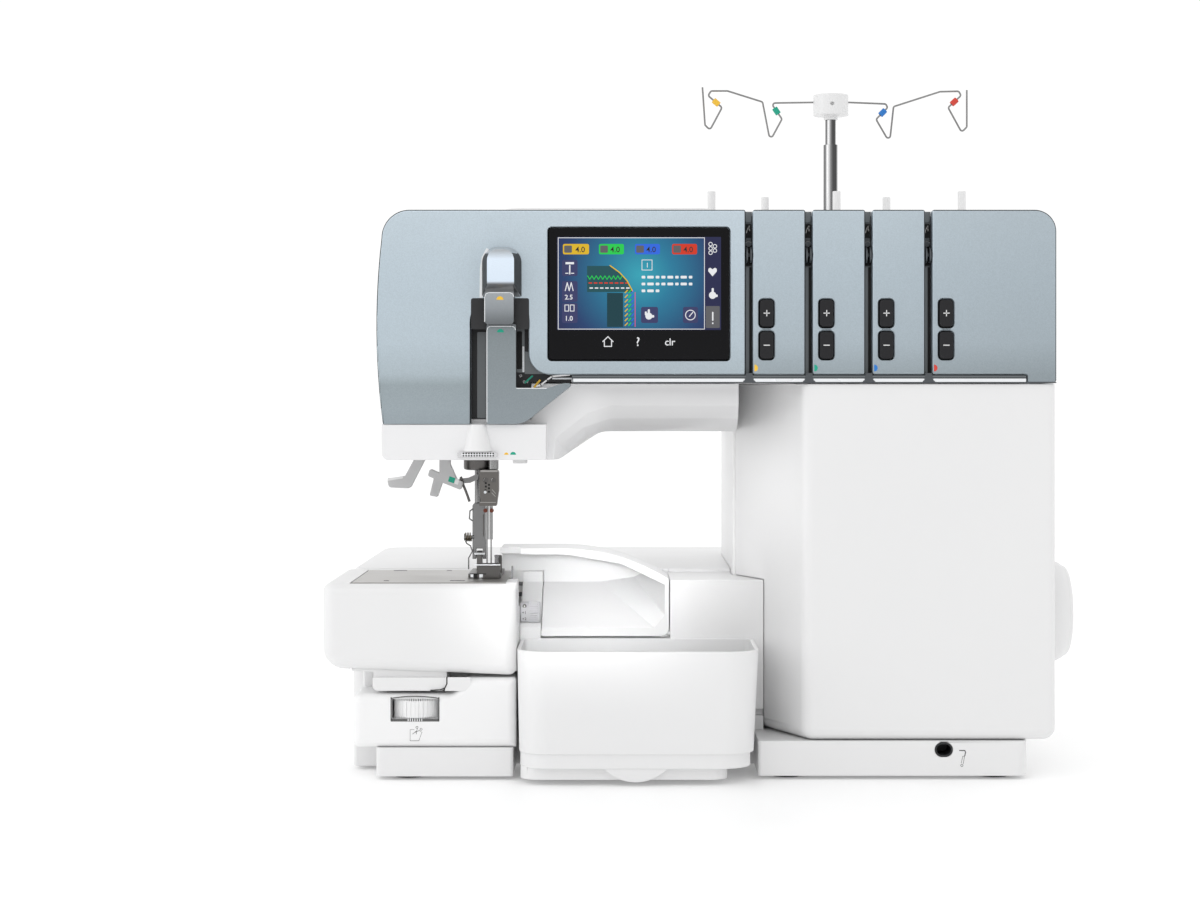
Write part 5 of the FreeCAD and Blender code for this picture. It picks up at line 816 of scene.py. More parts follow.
# %% Words, tiles and symbols
word_phase = 4.936447
bars = []
for right, z in ((79.8, 45), (82.4, 41.2), (63.8, 37.4)):
    left = 51.4
    while left < right - 2:
        wide = 4.2 + 2.3 * math.sin(left * 1.7 + word_phase)
        bars.append(tile(left, z, min(left + wide, right), z + 1.5, 0.4))
        left += wide + 1.1
on_display("name_lines", bars, 0.16, sign_white)
tile_boxes = ((7.2, 46.4, 15.8, 55.3), (7.2, 32, 15.8, 43.6), (7.2, 20.3, 15.8, 31.4),
              (51.1, 20.3, 60.5, 29.2), (74.4, 20.3, 82.7, 29.2))
side_tiles = [tile(*box, 1) for box in tile_boxes]
on_display("display_tiles", side_tiles, 0.15, tile_blue)
on_display("display_grey_tile", [tile(87, 17.5, 94.8, 29.7, 0.6)], 0.1, tile_grey)
needle_sign = stroke([(11.5, 47.5), (11.5, 52.3)], 0.7) + stroke([(9.5, 53.5), (13.5, 53.5)], 1.2)
needle_sign += stroke([(9.2, 47.9), (10.6, 47.9)], 0.5) + stroke([(12.4, 47.9), (13.8, 47.9)], 0.5)
zig = [(9 + 1.1 * i, 42.7 if i % 2 else 38.2) for i in range(5)]
cutter = frame_of(8.8, 26.9, 10.9, 30.3, 0.4) + frame_of(11.8, 26.9, 13.9, 30.3, 0.4)
box_sign = frame_of(51.6, 49.7, 57.2, 55.3, 0.35)
dial = circled(78.5, 24.7, 2.7, 22, 0.45) + stroke([(77.9, 23.9), (79.8, 26.2)], 0.5)
hand = [disc(55.4, 24.1, 1.9), tile(54.8, 24.7, 56, 27.9, 0.5), tile(56.4, 23.3, 58.4, 24.7, 0.5),
        tile(53.2, 24.5, 54.3, 26.7, 0.5)]
links = (89.7, 59.3), (89.7, 61.7), (89.7, 64.1), (92.1, 60.5), (92.1, 62.9)
chain = [s for x, z in links for s in circled(x, z, 1.0, 12, 0.4)]
heart = [[(90.8, 46.2), (93.2, 49), (93.1, 50.4), (92.1, 51), (90.8, 50.1), (89.5, 51),
          (88.5, 50.4), (88.4, 49)]]
palm = [disc(90.8, 35.7, 2.0), tile(90.3, 36.3, 91.5, 39.7, 0.5), tile(91.8, 34.7, 93.7, 36.1, 0.5)]
bang = [tile(90.5, 21.5, 91.3, 26.5, 0.3), tile(90.5, 19.7, 91.3, 20.6, 0.3)]
drawn = needle_sign + stroke(zig, 0.5) + cutter + box_sign + dial + hand
on_display("display_signs", drawn + chain + heart + palm + bang, 0.18, sign_white, 0.2)
figures = [
    ("2.5", 8.7, 33.4, 2.7, True), ("1.0", 8.7, 21.6, 2.7, True), ("1", 53.6, 51.1, 2.8, False)
]
signs("display_numbers", figures, glass, 0.2, sign_white)
home_sign = stroke([(29.8, 9.9), (32.7, 12.7), (35.6, 9.9)], 0.5)
home_sign += stroke([(30.7, 10.3), (30.7, 7.3), (34.7, 7.3), (34.7, 10.3)], 0.5)
on_display("home_sign", home_sign, 0.08, sign_white, 0.2)
key_words = [("?", 48.2, 7.6, 5.0, True), ("clr", 64.2, 7.9, 4.0, True)]
signs("key_signs", key_words, glass, 0.1, sign_white)
print(len(bars), "bars stand for words")

# %% [markdown]
# Each tension slot is a groove with a sloping metal guide and a thin disc near its top.
# Beside it sit two dark keys, plus and minus. A coloured half-disc at each slot's foot says
# which thread runs there: yellow, green, blue and red.

# %% Signs on the keys
for number in range(1, 5):
    for kind in ("plus", "minus"):
        low, high = (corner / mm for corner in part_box("%s_button_%d" % (kind, number)))
        x, z = (high.x - low.x) / 2, (high.z - low.z) / 2
        bars = stroke([(x - 1.6, z), (x + 1.6, z)], 0.5)
        if kind == "plus":
            bars += stroke([(x, z - 1.6), (x, z + 1.6)], 0.5)
        inlay(
            "%s_sign_%d" % (kind, number), bars, low, 0.05, pale_ink,
            body="%s_key_%d" % (kind, number), thick=0.2,
        )
panels = corner_of("tension_panels")
slot_pitch = 33.25
colours = ("yellow", "green", "blue", "red")
for number, colour in enumerate(colours):
    x = 0.9 + slot_pitch * number
    half = [(x, 6.5), (x, 10.3)] + disc(x, 8.4, 1.95, 90, -90, 14)[1:-1]
    inlay("thread_mark_" + colour, [half], panels, 0.06, dots[colour])
print("key signs and", len(colours), "thread marks")

# %% [markdown]
# Many small things on this machine come in rows and rings: four tension slots at one pitch,
# teeth on a guide plate, ribs round a dial. Geometry Nodes make them well: one tree copies a
# small mesh along a row, another copies it round an axis. Both end in Realize Instances and
# Set Material, so the result is one plain mesh that can ride on its body.

# %% Row and ring trees
def closing(tree, points, ends_in, ends_out, **turn):
    """Copies the incoming mesh onto the points, realizes the copies and gives the finish."""
    source = ends_in.outputs["Geometry"]
    copies = add(tree, "GeometryNodeInstanceOnPoints", Points=points, Instance=source, **turn)
    real = add(tree, "GeometryNodeRealizeInstances", i0=copies.outputs[0])
    coat = ends_in.outputs["Material"]
    coated = add(tree, "GeometryNodeSetMaterial", i0=real.outputs[0], Material=coat)
    feed(tree, ends_out, i0=coated.outputs[0])


tree_kind, shape_out = "GeometryNodeTree", {"Geometry": "Geometry"}
taken = {"Geometry": "Geometry", "Count": "Int", "Pitch": "Vector", "Material": "Material"}
row_tree, ends_in, ends_out = group_of(tree_kind, "Row of copies", taken, shape_out)
count, pitch = ends_in.outputs["Count"], ends_in.outputs["Pitch"]
line = add(row_tree, "GeometryNodeMeshLine", Count=count, Offset=pitch)
closing(row_tree, line.outputs[0], ends_in, ends_out)

taken = {"Geometry": "Geometry", "Count": "Int", "Radius": "Float", "Material": "Material"}
ring_tree, ends_in, ends_out = group_of(tree_kind, "Ring of copies", taken, shape_out)
count, radius = ends_in.outputs["Count"], ends_in.outputs["Radius"]
circle = add(ring_tree, "GeometryNodeMeshCircle", Vertices=count, Radius=radius)
number = add(ring_tree, "GeometryNodeInputIndex")
step = maths(ring_tree, "DIVIDE", math.tau, count)
turn = maths(ring_tree, "MULTIPLY", number.outputs[0], step)
about = add(ring_tree, "ShaderNodeCombineXYZ", Z=turn)
closing(ring_tree, circle.outputs[0], ends_in, ends_out, Rotation=about.outputs[0])


def repeated(name, mesh, tree, values, material, body, move=None):
    """Runs a tree on a small mesh and makes the result a finished piece."""
    draft = placed(name, mesh)
    copier = draft.modifiers.new("Copies", "NODES")
    copier.node_group = tree
    sockets = {
        item.name: item.identifier for item in tree.interface.items_tree if item.in_out == "INPUT"
    }
    for label, value in {**values, "Material": material}.items():
        copier[sockets[label]] = value
    result = settled(draft)
    if move is not None:
        result.transform(move)
    return piece_of(name, result, body)


print("trees:", row_tree.name, "and", ring_tree.name)

# %% [markdown]
# Steel seen in a white room looks white unless it is darker than plain steel and its colour
# changes across the bar. The chrome tubes therefore carry painted reflections: long upright
# bands of light and dark, as a round polished tube shows when it mirrors a bright room with
# dark corners.

# %% Chrome and wire
def chrome_with_painted_reflections(name, centre, radius):
    material = sleek(name, (0.5, 0.5, 0.5), (0.5, 0.5, 0.5), 0.16)
    tree, shader, place = opened(material)
    split = add(tree, "ShaderNodeSeparateXYZ", Vector=place)
    across = add(
        tree, "ShaderNodeMapRange", Value=split.outputs[0], i1=centre - radius, i2=centre + radius
    )
    ramp = add(tree, "ShaderNodeValToRGB", i0=across.outputs[0])
    for spot, shade in (
        (0.0, 0.12), (0.14, 0.3), (0.3, 0.95), (0.44, 0.3), (0.6, 0.1), (0.85, 0.07), (1.0, 0.3)
    ):
        stop = ramp.color_ramp.elements.new(spot)
        stop.color = (shade, shade, shade * 1.01, 1)
    ramp.color_ramp.elements.remove(ramp.color_ramp.elements[-1])
    ramp.color_ramp.elements.remove(ramp.color_ramp.elements[0])
    feed(tree, shader, Base_Color=ramp.outputs[0])
    return material


wire_steel = sleek("Wire steel", (0.34, 0.335, 0.33), (0.2, 0.2, 0.2), 0.2)
dark_steel = sleek("Dark steel", (0.16, 0.15, 0.145), (0.1, 0.097, 0.094), 0.3, 0.8)
bright_edge = sleek("Bright edge", (0.86, 0.88, 0.9), (0.8, 0.82, 0.84), 0.3, 0.2)
black_gap = sleek("Shadow gap", (0.006, 0.006, 0.006), (0.003, 0.003, 0.003), 0.7, 0)
band_grey = finish("Channel band", (0.18, 0.195, 0.203), (0.145, 0.157, 0.164), 0.35, 0.4)
brass = sleek("Spring brass", (0.24, 0.2, 0.14), (0.13, 0.11, 0.085), 0.3, 0.9)
for node in ("lower_tube", "upper_tube"):
    low, high = (corner.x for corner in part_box(node))
    label = "Painted reflections on chrome of " + node.replace("_", " ")
    rounded(node, chrome_with_painted_reflections(label, (low + high) / 2, (high - low) / 2), 0.3)
rounded("guide_wires", wire_steel, 0.05)
beads_left, beads_right = (corner.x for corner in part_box("guide_beads"))


def bead_colour(face):
    """The bead's number along the row, from 0 at the left to 3 at the right."""
    return round(3 * (face.calc_center_median().x - beads_left) / (beads_right - beads_left))


rounded("guide_beads", [dots[colour] for colour in colours], 0.3, paint=bead_colour)
print("chrome tubes, wires and", len(colours), "beads")

# %% [markdown]
# The thread path runs down through a dark channel beside the head. Inside it are a grey
# inner band, a folded strip of polished metal and a small open recess at the foot, where two
# coloured threading marks and a silver lever can be seen. The guard in front has a painted
# highlight, a thin bright line, on each fold, where a folded sheet always catches the light.

# %% Channel and recess
channel = corner_of("thread_channel")
to_panels = channel.y - panels.y
flare = [(31.3, 24.9), (46.6, 24.8), (42.6, 25.3), (38.2, 27.3), (34.8, 31.5), (33.7, 37.1),
         (31.3, 37.5)]
for name, outlines, proud, material, thick in (
    ("channel_band_left", [tile(4.7, 0.1, 11.4, 48.3, 0.8)], 0.1, band_grey, 0.3),
    ("channel_band_right", [tile(26.6, 25.7, 31.2, 51.1, 0.8)], 0.1, band_grey, 0.3),
    ("channel_core", [tile(26.8, 27.6, 29.8, 48.7, 0.6)], 0.25, black_gap, 0.3),
    ("channel_strip", [tile(30, 25.9, 31.1, 40.3, 0.3)], 0.3, bright_edge, 0.3),
    ("channel_shoulders", [tile(1.8, 49.6, 34.1, 66.9, 1.2)], to_panels + 0.06, dark, 0.1),
    ("channel_flare", [flare], 0.15, band_grey, 0.3),
):
    inlay(name, outlines, channel, proud, material, thick=thick)
lever_line = [(35.4, 17.3), (40.4, 18.7), (43.8, 21.5), (46.6, 23.5), (56.4, 24.4)]
eyes = (29.1, 23.8), (31.1, 20.4), (32.6, 20.6)
rings = [s for x, z in eyes for s in circled(x, z, 0.6, 10, 0.35)]
for name, outlines, proud, material, thick, slot in (
    ("lever", stroke(lever_line, 0.9), 1.2, polished, 0.9, "bright_steel"),
    ("shelf", stroke([(47, 22.3), (57.4, 22.3)], 0.9), 0.9, bright_edge, 0.3, "bright_steel"),
    ("green", stroke([(35.6, 23.7), (31.5, 20)], 1.0), 0.9, dots["green"], 0.3, "bead_colours"),
    ("yellow", stroke([(39.8, 21.3), (36.6, 17.4)], 1.1), 1.6, dots["yellow"], 0.3, "bead_colours"),
    ("rings", rings, 0.8, polished, 0.3, "bright_steel"),
):
    inlay("recess_" + name, outlines, channel, proud, material, thick=thick)
print("channel ground at y =", round(channel.y, 1), "mm")

# %% Painted highlights on the guard's folds, and its marks
hoods = corner_of("thread_hoods")
# How far the guard, its upper tier and its arch lie behind the hoods' front.
guard_in, tier_in, arch_in = 9.6, 4.0, 11.2
guard_fold = [(3, 1), (3, 52), (3.6, 53.6), (5, 54.15), (16.8, 54.15), (18.3, 53.6), (18.9, 52.3)]
tier_fold = [(2.1, 56.6), (2.1, 70.3), (2.8, 72), (4.3, 72.6), (16, 72.6), (17.5, 72), (18.1, 70.5)]
arch_rim = [(-1.2, 70.1), (0.6, 70.1), (0.8, 86.1), (1.8, 92.1), (4, 97.1), (2.6, 97.7), (0, 92.6),
            (-1, 86.1)]
shoe_fold = [(19.4, 19.8), (36, 19.8)]
# The fold lines and the arch rim are painted highlights.
for name, outlines, proud, thick in (
    ("guard_fold", stroke(guard_fold, 0.42), 0.05 - guard_in, 0.3),
    ("tier_fold", stroke(tier_fold, 0.42), 0.05 - tier_in, 0.3),
    ("arch_rim", [arch_rim], -arch_in, 0.7),
):
    inlay(name, outlines, hoods, proud, bright_edge, thick=thick)
for colour, z, proud in (("yellow", 68.7, 0.1 - tier_in), ("green", 50.8, 0.06 - guard_in)):
    half = disc(10.5, z, 1.95, 0, 180, 14)
    inlay("guard_mark_" + colour, [half], hoods, proud, dots[colour])
# The shoe's fold gets a painted highlight too.
shoe_line, shoe_proud = stroke(shoe_fold, 0.4), 0.05 - guard_in
inlay("shoe_fold", shoe_line, hoods, shoe_proud, bright_edge)
print("guard face at y =", round(hoods.y + guard_in, 1), "mm")

# %% [markdown]
# Each tension slot is lined: a dark back with a grey cheek on the left, a window near the
# top with a small bent hook and a round tension disc, and a dark connector where the slot
# meets the bright bar below. One slot is drawn once and copied four times along the panel.

# %% Tension slots
slot_corner = Vector((panels.x - 4.0, channel.y, panels.z))
hook = [(0.9, 84), (1.3, 85.8), (2.8, 88.4), (2.2, 86), (3, 84.6), (2.2, 87.2)]
tension_disc = [disc(2, 78, 1.75, points=18), tile(0.6, 79.2, 3.4, 81.2, 0.5)]
connector = [(-1.9, 0.3), (5.9, 0.3), (5, 1.4), (4, 2), (3.9, 5.6), (0.1, 5.6), (0, 2), (-1, 1.4)]
cheek = [tile(0.5, 4.6, 2.3, 64.8), tile(0.3, 90, 3.6, 95.6, 1.2)]
window_shade = [tile(2.6, 4.6, 3.8, 64.8), tile(0.2, 65.6, 3.8, 89, 0.8)]
for name, outlines, proud, thick, material, slot in (
    ("back", [tile(0.1, 0.7, 3.9, 95.8)], 0.2, 0.3, grey_dark, "dark_recess"),
    ("cheek", cheek, 0.9, 0.8, band_grey, "dark_recess"),
    ("shade", window_shade, 0.5, 0.4, black_gap, "dark_recess"),
    ("hook", stroke(hook, 0.4), 1.4, 0.5, wire_steel, "bright_steel"),
    ("disc", tension_disc, 1.3, 0.7, motor_paint, "bright_steel"),
    ("glint", stroke(disc(2, 78, 1.4, 20, 160, 10), 0.3), 1.4, 0.2, wire_steel, "bright_steel"),
    ("connector", [connector], to_panels + 0.3, 0.4, motor_paint, "dark_recess"),
):
    repeated(
        "slot_" + name, outlined(outlines, slot_corner, proud, thick), row_tree,
        {"Count": 4, "Pitch": (slot_pitch * mm, 0, 0)}, material, "machine",
    )
guides_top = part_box("thread_guides")[1].z


def guide_tone(face):
    """1, the dark paint, near the top of the guides; polished below."""
    return 1 if face.calc_center_median().z > guides_top - 16.4 * mm else 0


rounded("thread_guides", [polished, motor_paint], 0.2, paint=guide_tone)
print("slots at", [round(slot_corner.x + slot_pitch * i, 1) for i in range(4)], "mm")

# %% Bright bar under the covers
ends = [(-99.8, -4.5)] + [(0.5 + slot_pitch * i, 28.8 + slot_pitch * i) for i in range(3)]
ends.append((100.3, 151.8))
bar = [tile(left, 0.7, right, 2.5, 0.3) for left, right in ends]
inlay("bright_bar", bar, panels, 0.15, bright_edge)
lines = [tile(-100, 3.9, 151.8, 4.4), tile(-100.4, 2.6, 151.8, 3.4), tile(-100.4, 0, 168.6, 0.6)]
inlay("bar_lines", lines, panels, 0.1, motor_paint)
inlay("bar_ground", [tile(-100.4, 0.1, 151.8, 4.3)], panels, 0.05, band_grey)
print(len(bar), "lengths of bright bar")

# %% [markdown]
# The needle area is the most mechanical part that can be seen: a dark bush, a clamp with set
# screws and thread holes, a flat shank, a spring with its wire, and the foot with a bright
# front lip. Turned parts are made by revolving a profile, wires by following a line.

# %% Turned parts and wires
def turned(name, centre, profile, material, body, sides=28, axis="Z"):
    """Revolves (radius, height) points in millimetres about an axis through the centre."""
    shape = bmesh.new()
    rings = []
    for radius, height in profile:
        ring = []
        for i in range(sides):
            a = math.tau * i / sides
            p = (radius * math.cos(a), radius * math.sin(a), height)
            if axis == "Y":
                p = (p[0], p[2], p[1])
            elif axis == "X":
                p = (p[2], p[0], p[1])
            ring.append(shape.verts.new(tuple((c + q) * mm for c, q in zip(centre, p))))
        rings.append(ring)
    for low, high in zip(rings, rings[1:]):
        for i in range(sides):
            j = (i + 1) % sides
            shape.faces.new((low[i], low[j], high[j], high[i]))
    shape.faces.new(rings[0][::-1])
    shape.faces.new(rings[-1])
    bmesh.ops.recalc_face_normals(shape, faces=shape.faces)
    mesh = plain_mesh(shape, name)
    smooth(mesh)
    return piece_of(name, mesh, body, material)


def wire(name, corner, points, diameter, material, body):
    """A round steel wire through points in millimetres, measured from a corner."""
    curve = bpy.data.curves.new(name, "CURVE")
    curve.dimensions = "3D"
    spline = curve.splines.new("POLY")
    spline.points.add(len(points) - 1)
    for point, place in zip(spline.points, points):
        point.co = (*((corner + Vector(place)) * mm), 1)
    curve.bevel_depth = diameter / 2 * mm
    curve.bevel_resolution = 3
    curve.use_fill_caps = True
    mesh = settled(placed(name, curve))
    smooth(mesh, 50)
    return piece_of(name, mesh, body, material)


def steel_inlays(corner, body, rows):
    """Steel inlays of one piece: name, outlines, proud, material and thickness."""
    for name, outlines, proud, material, thick in rows:
        inlay(name, outlines, corner, proud, material, body, thick)


bar_low, bar_high = (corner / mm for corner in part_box("presser_bar"))
bar = (bar_low + bar_high) / 2
turned(
    "bar_bush", (bar.x - 1, bar.y - 8, bar_low.z + 52),
    [(6.0, 0), (7.6, 0.5), (7.9, 1.6), (7.9, 7.0), (7.4, 7.3)], dark_steel, "machine",
)
print("bush round the presser bar at", round(bar.x, 1), round(bar.y, 1))

# %% Needle clamp
clamp = corner_of("needle_clamp")
spots = (3.2, 12.6), (3.2, 10.6), (5, 11.6), (5, 9.6), (5, 7.6), (3, 8.4)
holes = [tile(x, z, x + 1.15, z + 1.15, 0.2) for x, z in spots]
heads = [disc(x, 15, 1.35, points=16) for x in (4.1, 8.6)]
scores = stroke([(7.4, 9.4), (9.4, 7.2)], 0.3) + stroke([(7.2, 7.6), (9.2, 5.4)], 0.3)
steel_inlays(clamp, "needle_carrier", (
    ("clamp_holes", holes, 0.05, black_gap, 0.3),
    ("clamp_top_fold", [tile(0.6, 19.6, 10.6, 20.6, 0.2)], 0.1, plate_steel, 0.3),
    ("clamp_eye", [disc(3.4, 7.9, 0.85, points=14)], 0.12, bright_edge, 0.3),
    ("clamp_screw_heads", heads, 0.1, dark_steel, 1.2),
    ("clamp_scores", scores, 0.1, plate_steel, 0.3),
    ("clamp_foot_plate", [tile(0, 0, 10, 2.3, 0.4)], 0.4, clamp_steel, 0.5),
    ("clamp_foot_line", [tile(0.4, 1.9, 9.6, 2.25, 0.1)], 0.5, plate_steel, 0.3),
))
for number, x in enumerate((3.6, 7.2), 1):
    screw_red = sleek("Screw red %d" % number, (0.2, 0.05, 0.03), (0.1, 0.03, 0.02), 0.35, 0.6)
    turned(
        "needle_screw_%d" % number, clamp + Vector((x, -0.6, -2.6)),
        [(0.5, -1.3), (1.2, -1.2), (1.25, 0.8), (0.9, 0.95)], screw_red, "needle_carrier",
        sides=14, axis="Y",
    )
print("clamp face at y =", round(clamp.y, 1), "mm")

# %% Shank, spring and pins
steel_inlays(bar_low, "presser", (
    ("shank_groove", [tile(6.2, 13.1, 6.8, 26.1, 0.2)], 0.6, dark_steel, 0.8),
    ("shank_foot_glint", [tile(1.1, 2.5, 7.3, 3.6, 0.5)], 0.15, bright_edge, 0.3),
))
bar_left = Vector((bar_low.x, bar.y, bar_low.z))
turns, steps, rise = 4, 48, 3.6
coil = []
for i in range(steps + 1):
    a = math.tau * turns * i / steps
    coil.append((-4.1 + rise * i / steps, -4.6 + 1.9 * math.cos(a), 12.8 + 2.4 * math.sin(a)))
wire("presser_spring", bar_left, coil, 0.6, brass, "presser")
turned(
    "spring_screw", bar_left + Vector((-4.5, -4.6, 12.8)),
    [(0.9, -0.4), (2.1, -0.2), (2.1, 0.7), (1.0, 0.9), (1.0, 5.4)], foot_steel, "presser",
    sides=18, axis="X",
)
spring_arm = [(-3.9, -5, 10.4), (-3.3, -6, 9.2), (-0.9, -7, 7.8), (0.2, -7.4, 4.6),
              (-1.9, -7.8, 0.8), (-2, -8, -5.8)]
wire("spring_arm", bar_left, spring_arm, 0.8, foot_steel, "presser")
bracket = [(0.3, -4.4, 29.2), (-1.4, -4.8, 28), (-1.7, -4.8, 23.6), (0.1, -4.4, 22.2)]
wire("shank_bracket", bar_left, bracket, 0.9, foot_steel, "presser")
print("spring with", len(coil), "points")

# %% Foot front
foot = corner_of("presser_foot")
toes = [tile(1.6, 0.4, 3.3, 2.2, 0.2), tile(6.6, 0.4, 8.7, 2.2, 0.2)]
steel_inlays(foot, "foot", (
    ("foot_lip", [tile(3.6, 7.2, 18.6, 7.9, 0.2)], 0.02, bright_edge, 0.5),
    ("foot_toes", toes, 0.05, bright_edge, 0.5),
    ("foot_toe_gap", [tile(1.2, 0.2, 10.6, 2.6, 0.3)], -0.02, black_gap, 0.3),
))
turned(
    "foot_pin", foot + Vector((16.3, 4, 7.3)),
    [(1.15, 0), (1.15, 4.4), (1.3, 4.6), (1.3, 5.4), (0.9, 5.7)], foot_steel, "foot", sides=16,
)
print("foot lip at y =", round(foot.y, 1), "mm")

# %% [markdown]
# Threader and lifter are pale grey levers under the head. The threader has a ribbed thumb
# tab, a green mark and a dark hook that reaches to the needles.

# %% Threader and lifter details
threader = corner_of("needle_threader_lever")
mark = [(11.5, 8.9), (14.9, 7.7), (15.8, 10.7), (12.4, 11.9)]
inlay("threader_mark", [mark], threader, 0.05, dots["green"], "threader")
pale_mark = [(15.1, 7.6), (17.2, 6.9), (18.1, 9.9), (16, 10.6)]
inlay("threader_pale_mark", [pale_mark], threader, 0.05, pale_ink, "threader")
rib = [(2.2, 1.8), (5.6, 2.8), (5.5, 3.2), (2.1, 2.2)]
repeated(
    "threader_ribs", outlined([rib], threader, 0.25, 0.4), row_tree,
    {"Count": 5, "Pitch": (0.42 * mm, 0, 1.35 * mm)}, lever_grey, "threader",
)
hook_line = [(18.7, 3, 11.5), (20.3, 3, 6.3), (22.3, 3, 1.3), (23.7, 3.4, -2.9)]
wire("threader_hook", threader, hook_line, 1.5, dark_steel, "threader")
link = [(17.5, 10.3), (23.1, 10.9), (27.5, 12.9), (28.7, 12.7), (28.5, 9.9), (24.1, 7.9),
        (18.1, 7.5)]
steel_inlays(threader, "threader", (("threader_link", [link], -3.6, foot_steel, 0.9),))
pad = [(0.4, 4.4), (9.1, 5.8), (9.3, 7), (0.4, 6)]
lifter = corner_of("lifter_lever")
# A painted highlight on the lifter's pad, in the pale print colour.
inlay("lifter_pad_glint", [pad], lifter, 0.04, pale_ink, "lifter")
print("threader face at y =", round(threader.y, 1), "mm")

# %% [markdown]
# The funnel that leads the threads to the needles ends in a small toothed plate. Below it
# on the head are two coloured half-discs. The needle plate has short slots near its front
# and back edges, where screws and a guide fit.

# %% Funnel plate, marks and plate slots
guides = corner_of("thread_guides")
repeated(
    "funnel_teeth", outlined([tile(3.1, 0.5, 3.9, 2.6, 0.15)], guides, 0.15, 0.3), row_tree,
    {"Count": 12, "Pitch": (1.5 * mm, 0, 0)}, black_gap, "machine",
)
funnel_line = [tile(2.3, 1.3, 20.3, 1.8, 0.1)]
inlay("funnel_line", funnel_line, guides, 0.25, bright_edge)
head = corner_of("head_cover")
for colour, x, radius in (("yellow", 69.4, 1.25), ("green", 73.2, 1.6)):
    half = disc(x, 3, radius, 0, 180, 12)
    inlay("head_mark_" + colour, [half], head, 0.05, dots[colour])
plate_low, plate_high = (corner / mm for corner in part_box("needle_plate"))
slot_thick = 0.06
slots = bmesh.new()
for box in ((15, 85.3, 23, 88.3), (46.6, 85.3, 49.6, 88.3), (16.7, 10.4, 19.5, 13.4),
            (53.9, 10.4, 62.3, 13.4)):
    prism(slots, [(plate_low.x + x, plate_low.y + y) for x, y in tile(*box)], 0, slot_thick)
mesh = plain_mesh(slots, "plate_slots")
lying = Matrix(((1, 0, 0, 0), (0, 0, 1, 0), (0, -1, 0, 0), (0, 0, 0, 1)))  # z becomes y
mesh.transform(Matrix.Translation((0, 0, (plate_high.z + slot_thick) * mm)) @ lying)
piece_of("plate_slots", mesh, home["needle_plate"], black_gap)
print("slots in a plate at z =", round(plate_high.z, 1), "mm")

# %% [markdown]
# Two dials have ribs for the thumb. One rib is drawn once and copied round the axis. The
# numbers on the thread dial sit on its drum, one below the other.

# %% Dial ribs and numbers
def rib_block(width, proud, length):
    """One rib lying along z, centred on the origin."""
    shape = bmesh.new()
    bmesh.ops.create_cube(shape, size=1.0)
    for vert in shape.verts:
        taper = 0.6 if vert.co.x > 0 else 1.0
        vert.co = Vector((vert.co.x * proud, vert.co.y * width * taper, vert.co.z * length)) * mm
    return plain_mesh(shape, "rib")


dial_at = corner_of("micro_dial")
drum_low, drum_high = (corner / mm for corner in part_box("micro_dial"))
drum = (drum_low + drum_high) / 2
radius = (drum_high.z - drum_low.z) / 2
ribs_at = Vector((dial_at.x + 10.1, drum.y, drum.z)) * mm
along_x = Matrix.Translation(ribs_at) @ Matrix.Rotation(math.radians(90), 4, "Y")
repeated(
    "thread_dial_ribs", rib_block(0.55, 0.6, 4.6), ring_tree,
    {"Count": 30, "Radius": radius * mm}, pale_grey, "thread_dial", move=along_x,
)


def drum_front(up):
    """How far the drum's surface lies behind the dial's front, this high above its foot."""
    off_axis = up + dial_at.z - drum.z
    return drum.y - dial_at.y - math.sqrt(max(0.1, radius ** 2 - off_axis ** 2))


def wrapped(obj, front, proud=0.08):
    """Lays a flat sign round the drum, so that it stands equally proud all over."""
    for vert in obj.data.vertices:
        reach = radius + proud - min(0.25, vert.co.y / mm - front)
        up = vert.co.z / mm - drum.z
        vert.co.y = (drum.y - math.sqrt(max(0.01, reach ** 2 - up ** 2))) * mm


for number, (text, z) in enumerate((("+1", 5.4), ("+2", 1.7)), 1):
    proud = 0.12 - drum_front(z + 0.9)
    words = [(text, 3.9, z, 1.7, True)]
    sign = signs(
        "dial_number_%d" % number, words, dial_at, proud, grey_ink, "thread_dial"
    )
    wrapped(sign, dial_at.y - proud)
spot = 5.3, 9.8
proud = 0.5 - drum_front(spot[1])
for name, size, rise, ink, thick, points in (
    ("dial_zero", 1.2, 0, grey_ink, 0.5, 18), ("dial_zero_eye", 0.45, 0.06, pale_ink, 0.3, 12)
):
    ring = [disc(*spot, size, points=points)]
    inlay(name, ring, dial_at, proud + rise, ink, "thread_dial", thick)
wheel_low, wheel_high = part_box("cutting_width_wheel")
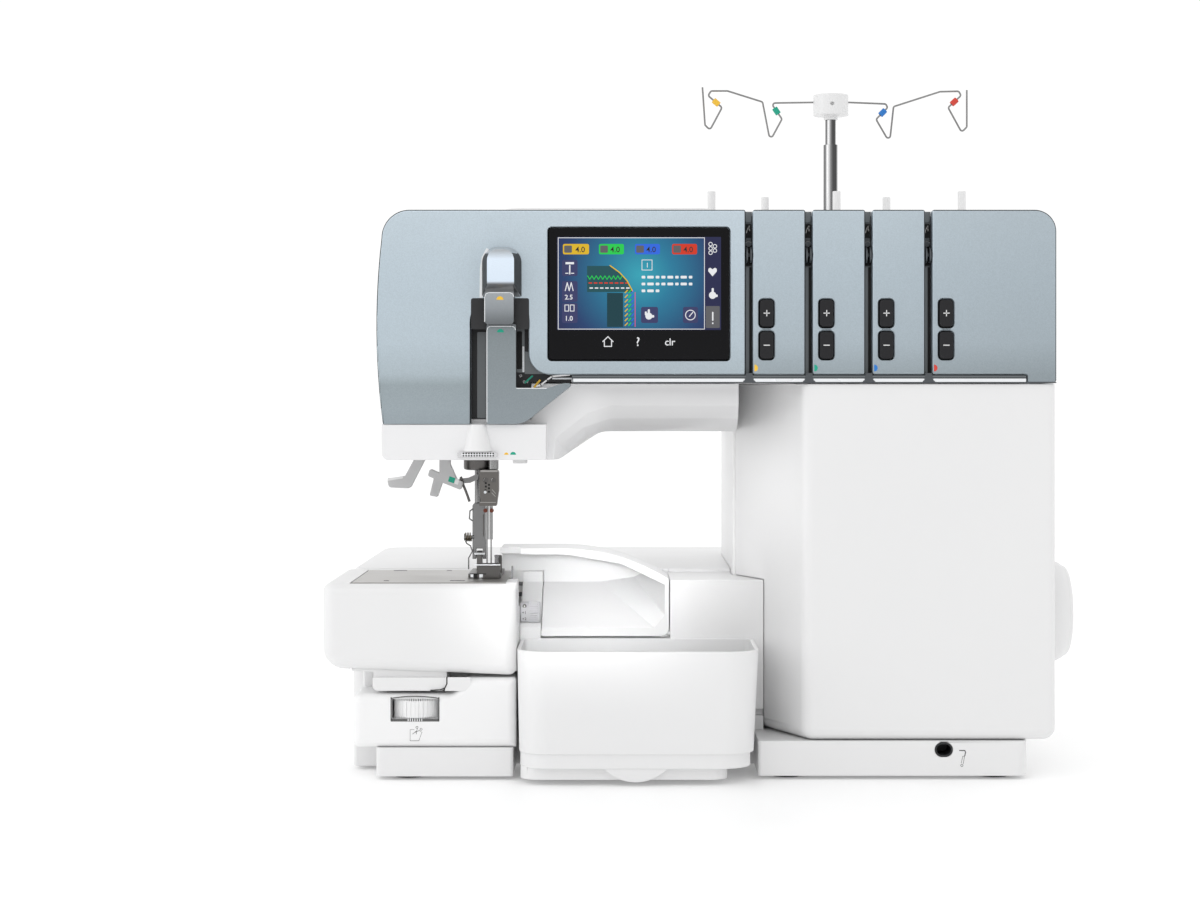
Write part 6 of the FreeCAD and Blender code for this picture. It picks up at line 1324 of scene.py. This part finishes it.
# The ribs take the lighter white too, as painted light.
repeated(
    "width_wheel_ribs", rib_block(0.6, 0.35, 12.6), ring_tree,
    {"Count": 60, "Radius": (wheel_high.x - wheel_low.x) / 2}, white_painted_light, "width_wheel",
    move=Matrix.Translation((wheel_low + wheel_high) / 2),
)
print("drum radius", round(radius, 1), "mm")

# %% Window frame and small drawings
base = corner_of("left_base")
window = stroke([(21.4, 15.2), (21.4, 28)], 0.5) + stroke([(48, 15.2), (48, 28)], 0.5)
window += [tile(21.2, 14.6, 48.2, 16, 0.2)]
window += stroke(disc(34.7, -47.4, 76.0, 80, 100, 14), 0.55)
inlay("wheel_window_frame", window, base, 0.05, grey_ink)
filler = [tile(51.4, 31.6, 65.5, 39.1)]
inlay("latch_corner", filler, base, -0.1, white, thick=1.2)
latch_line = [(52.4, 39.1), (52.4, 35.6), (51.3, 33.2), (48.8, 32.2), (43.4, 31.9)]
inlay("latch_line", stroke(latch_line, 0.65), base, 0.05, black_gap)
cloth_lines = ([(32, 10.1), (34.2, 10.1)], [(32, 10.1), (32, 3.9)], [(32, 3.9), (36.8, 3.9)],
               [(36.8, 3.9), (38.6, 8.6)], [(38.6, 8.6), (37.4, 9.2)])
blades = ([(36, 10.8), (35.4, 7.6)], [(37.6, 9.9), (34, 8.2)], [(33.4, 7.6), (35.6, 9.4)])
drawing = [s for pair in cloth_lines for s in stroke(pair, 0.2)]
drawing += [s for x, z in ((35.8, 11.4), (38.1, 10.3)) for s in circled(x, z, 0.6, 10, 0.22)]
drawing += [s for pair in blades for s in stroke(pair, 0.25)]
inlay("width_drawing", drawing, base, 0.05, grey_ink)
limbs = ([(16.5, 0.4), (15.8, -3.7)], [(15.5, 0.4), (14.7, -3.4)], [(15.5, 0.4), (16.5, 0.4)])
knee = stroke([(13.7, 3.6), (16.6, 3.6), (17.1, 2.6), (16.6, 0.6)], 0.55)
knee += [s for pair in limbs for s in stroke(pair, 0.25)] + circled(15, -4.7, 0.65, 12, 0.25)
socket = corner_of("knee_lift_socket")
inlay("knee_drawing", knee, socket, 0.05, grey_ink)
print("drawings on the base")
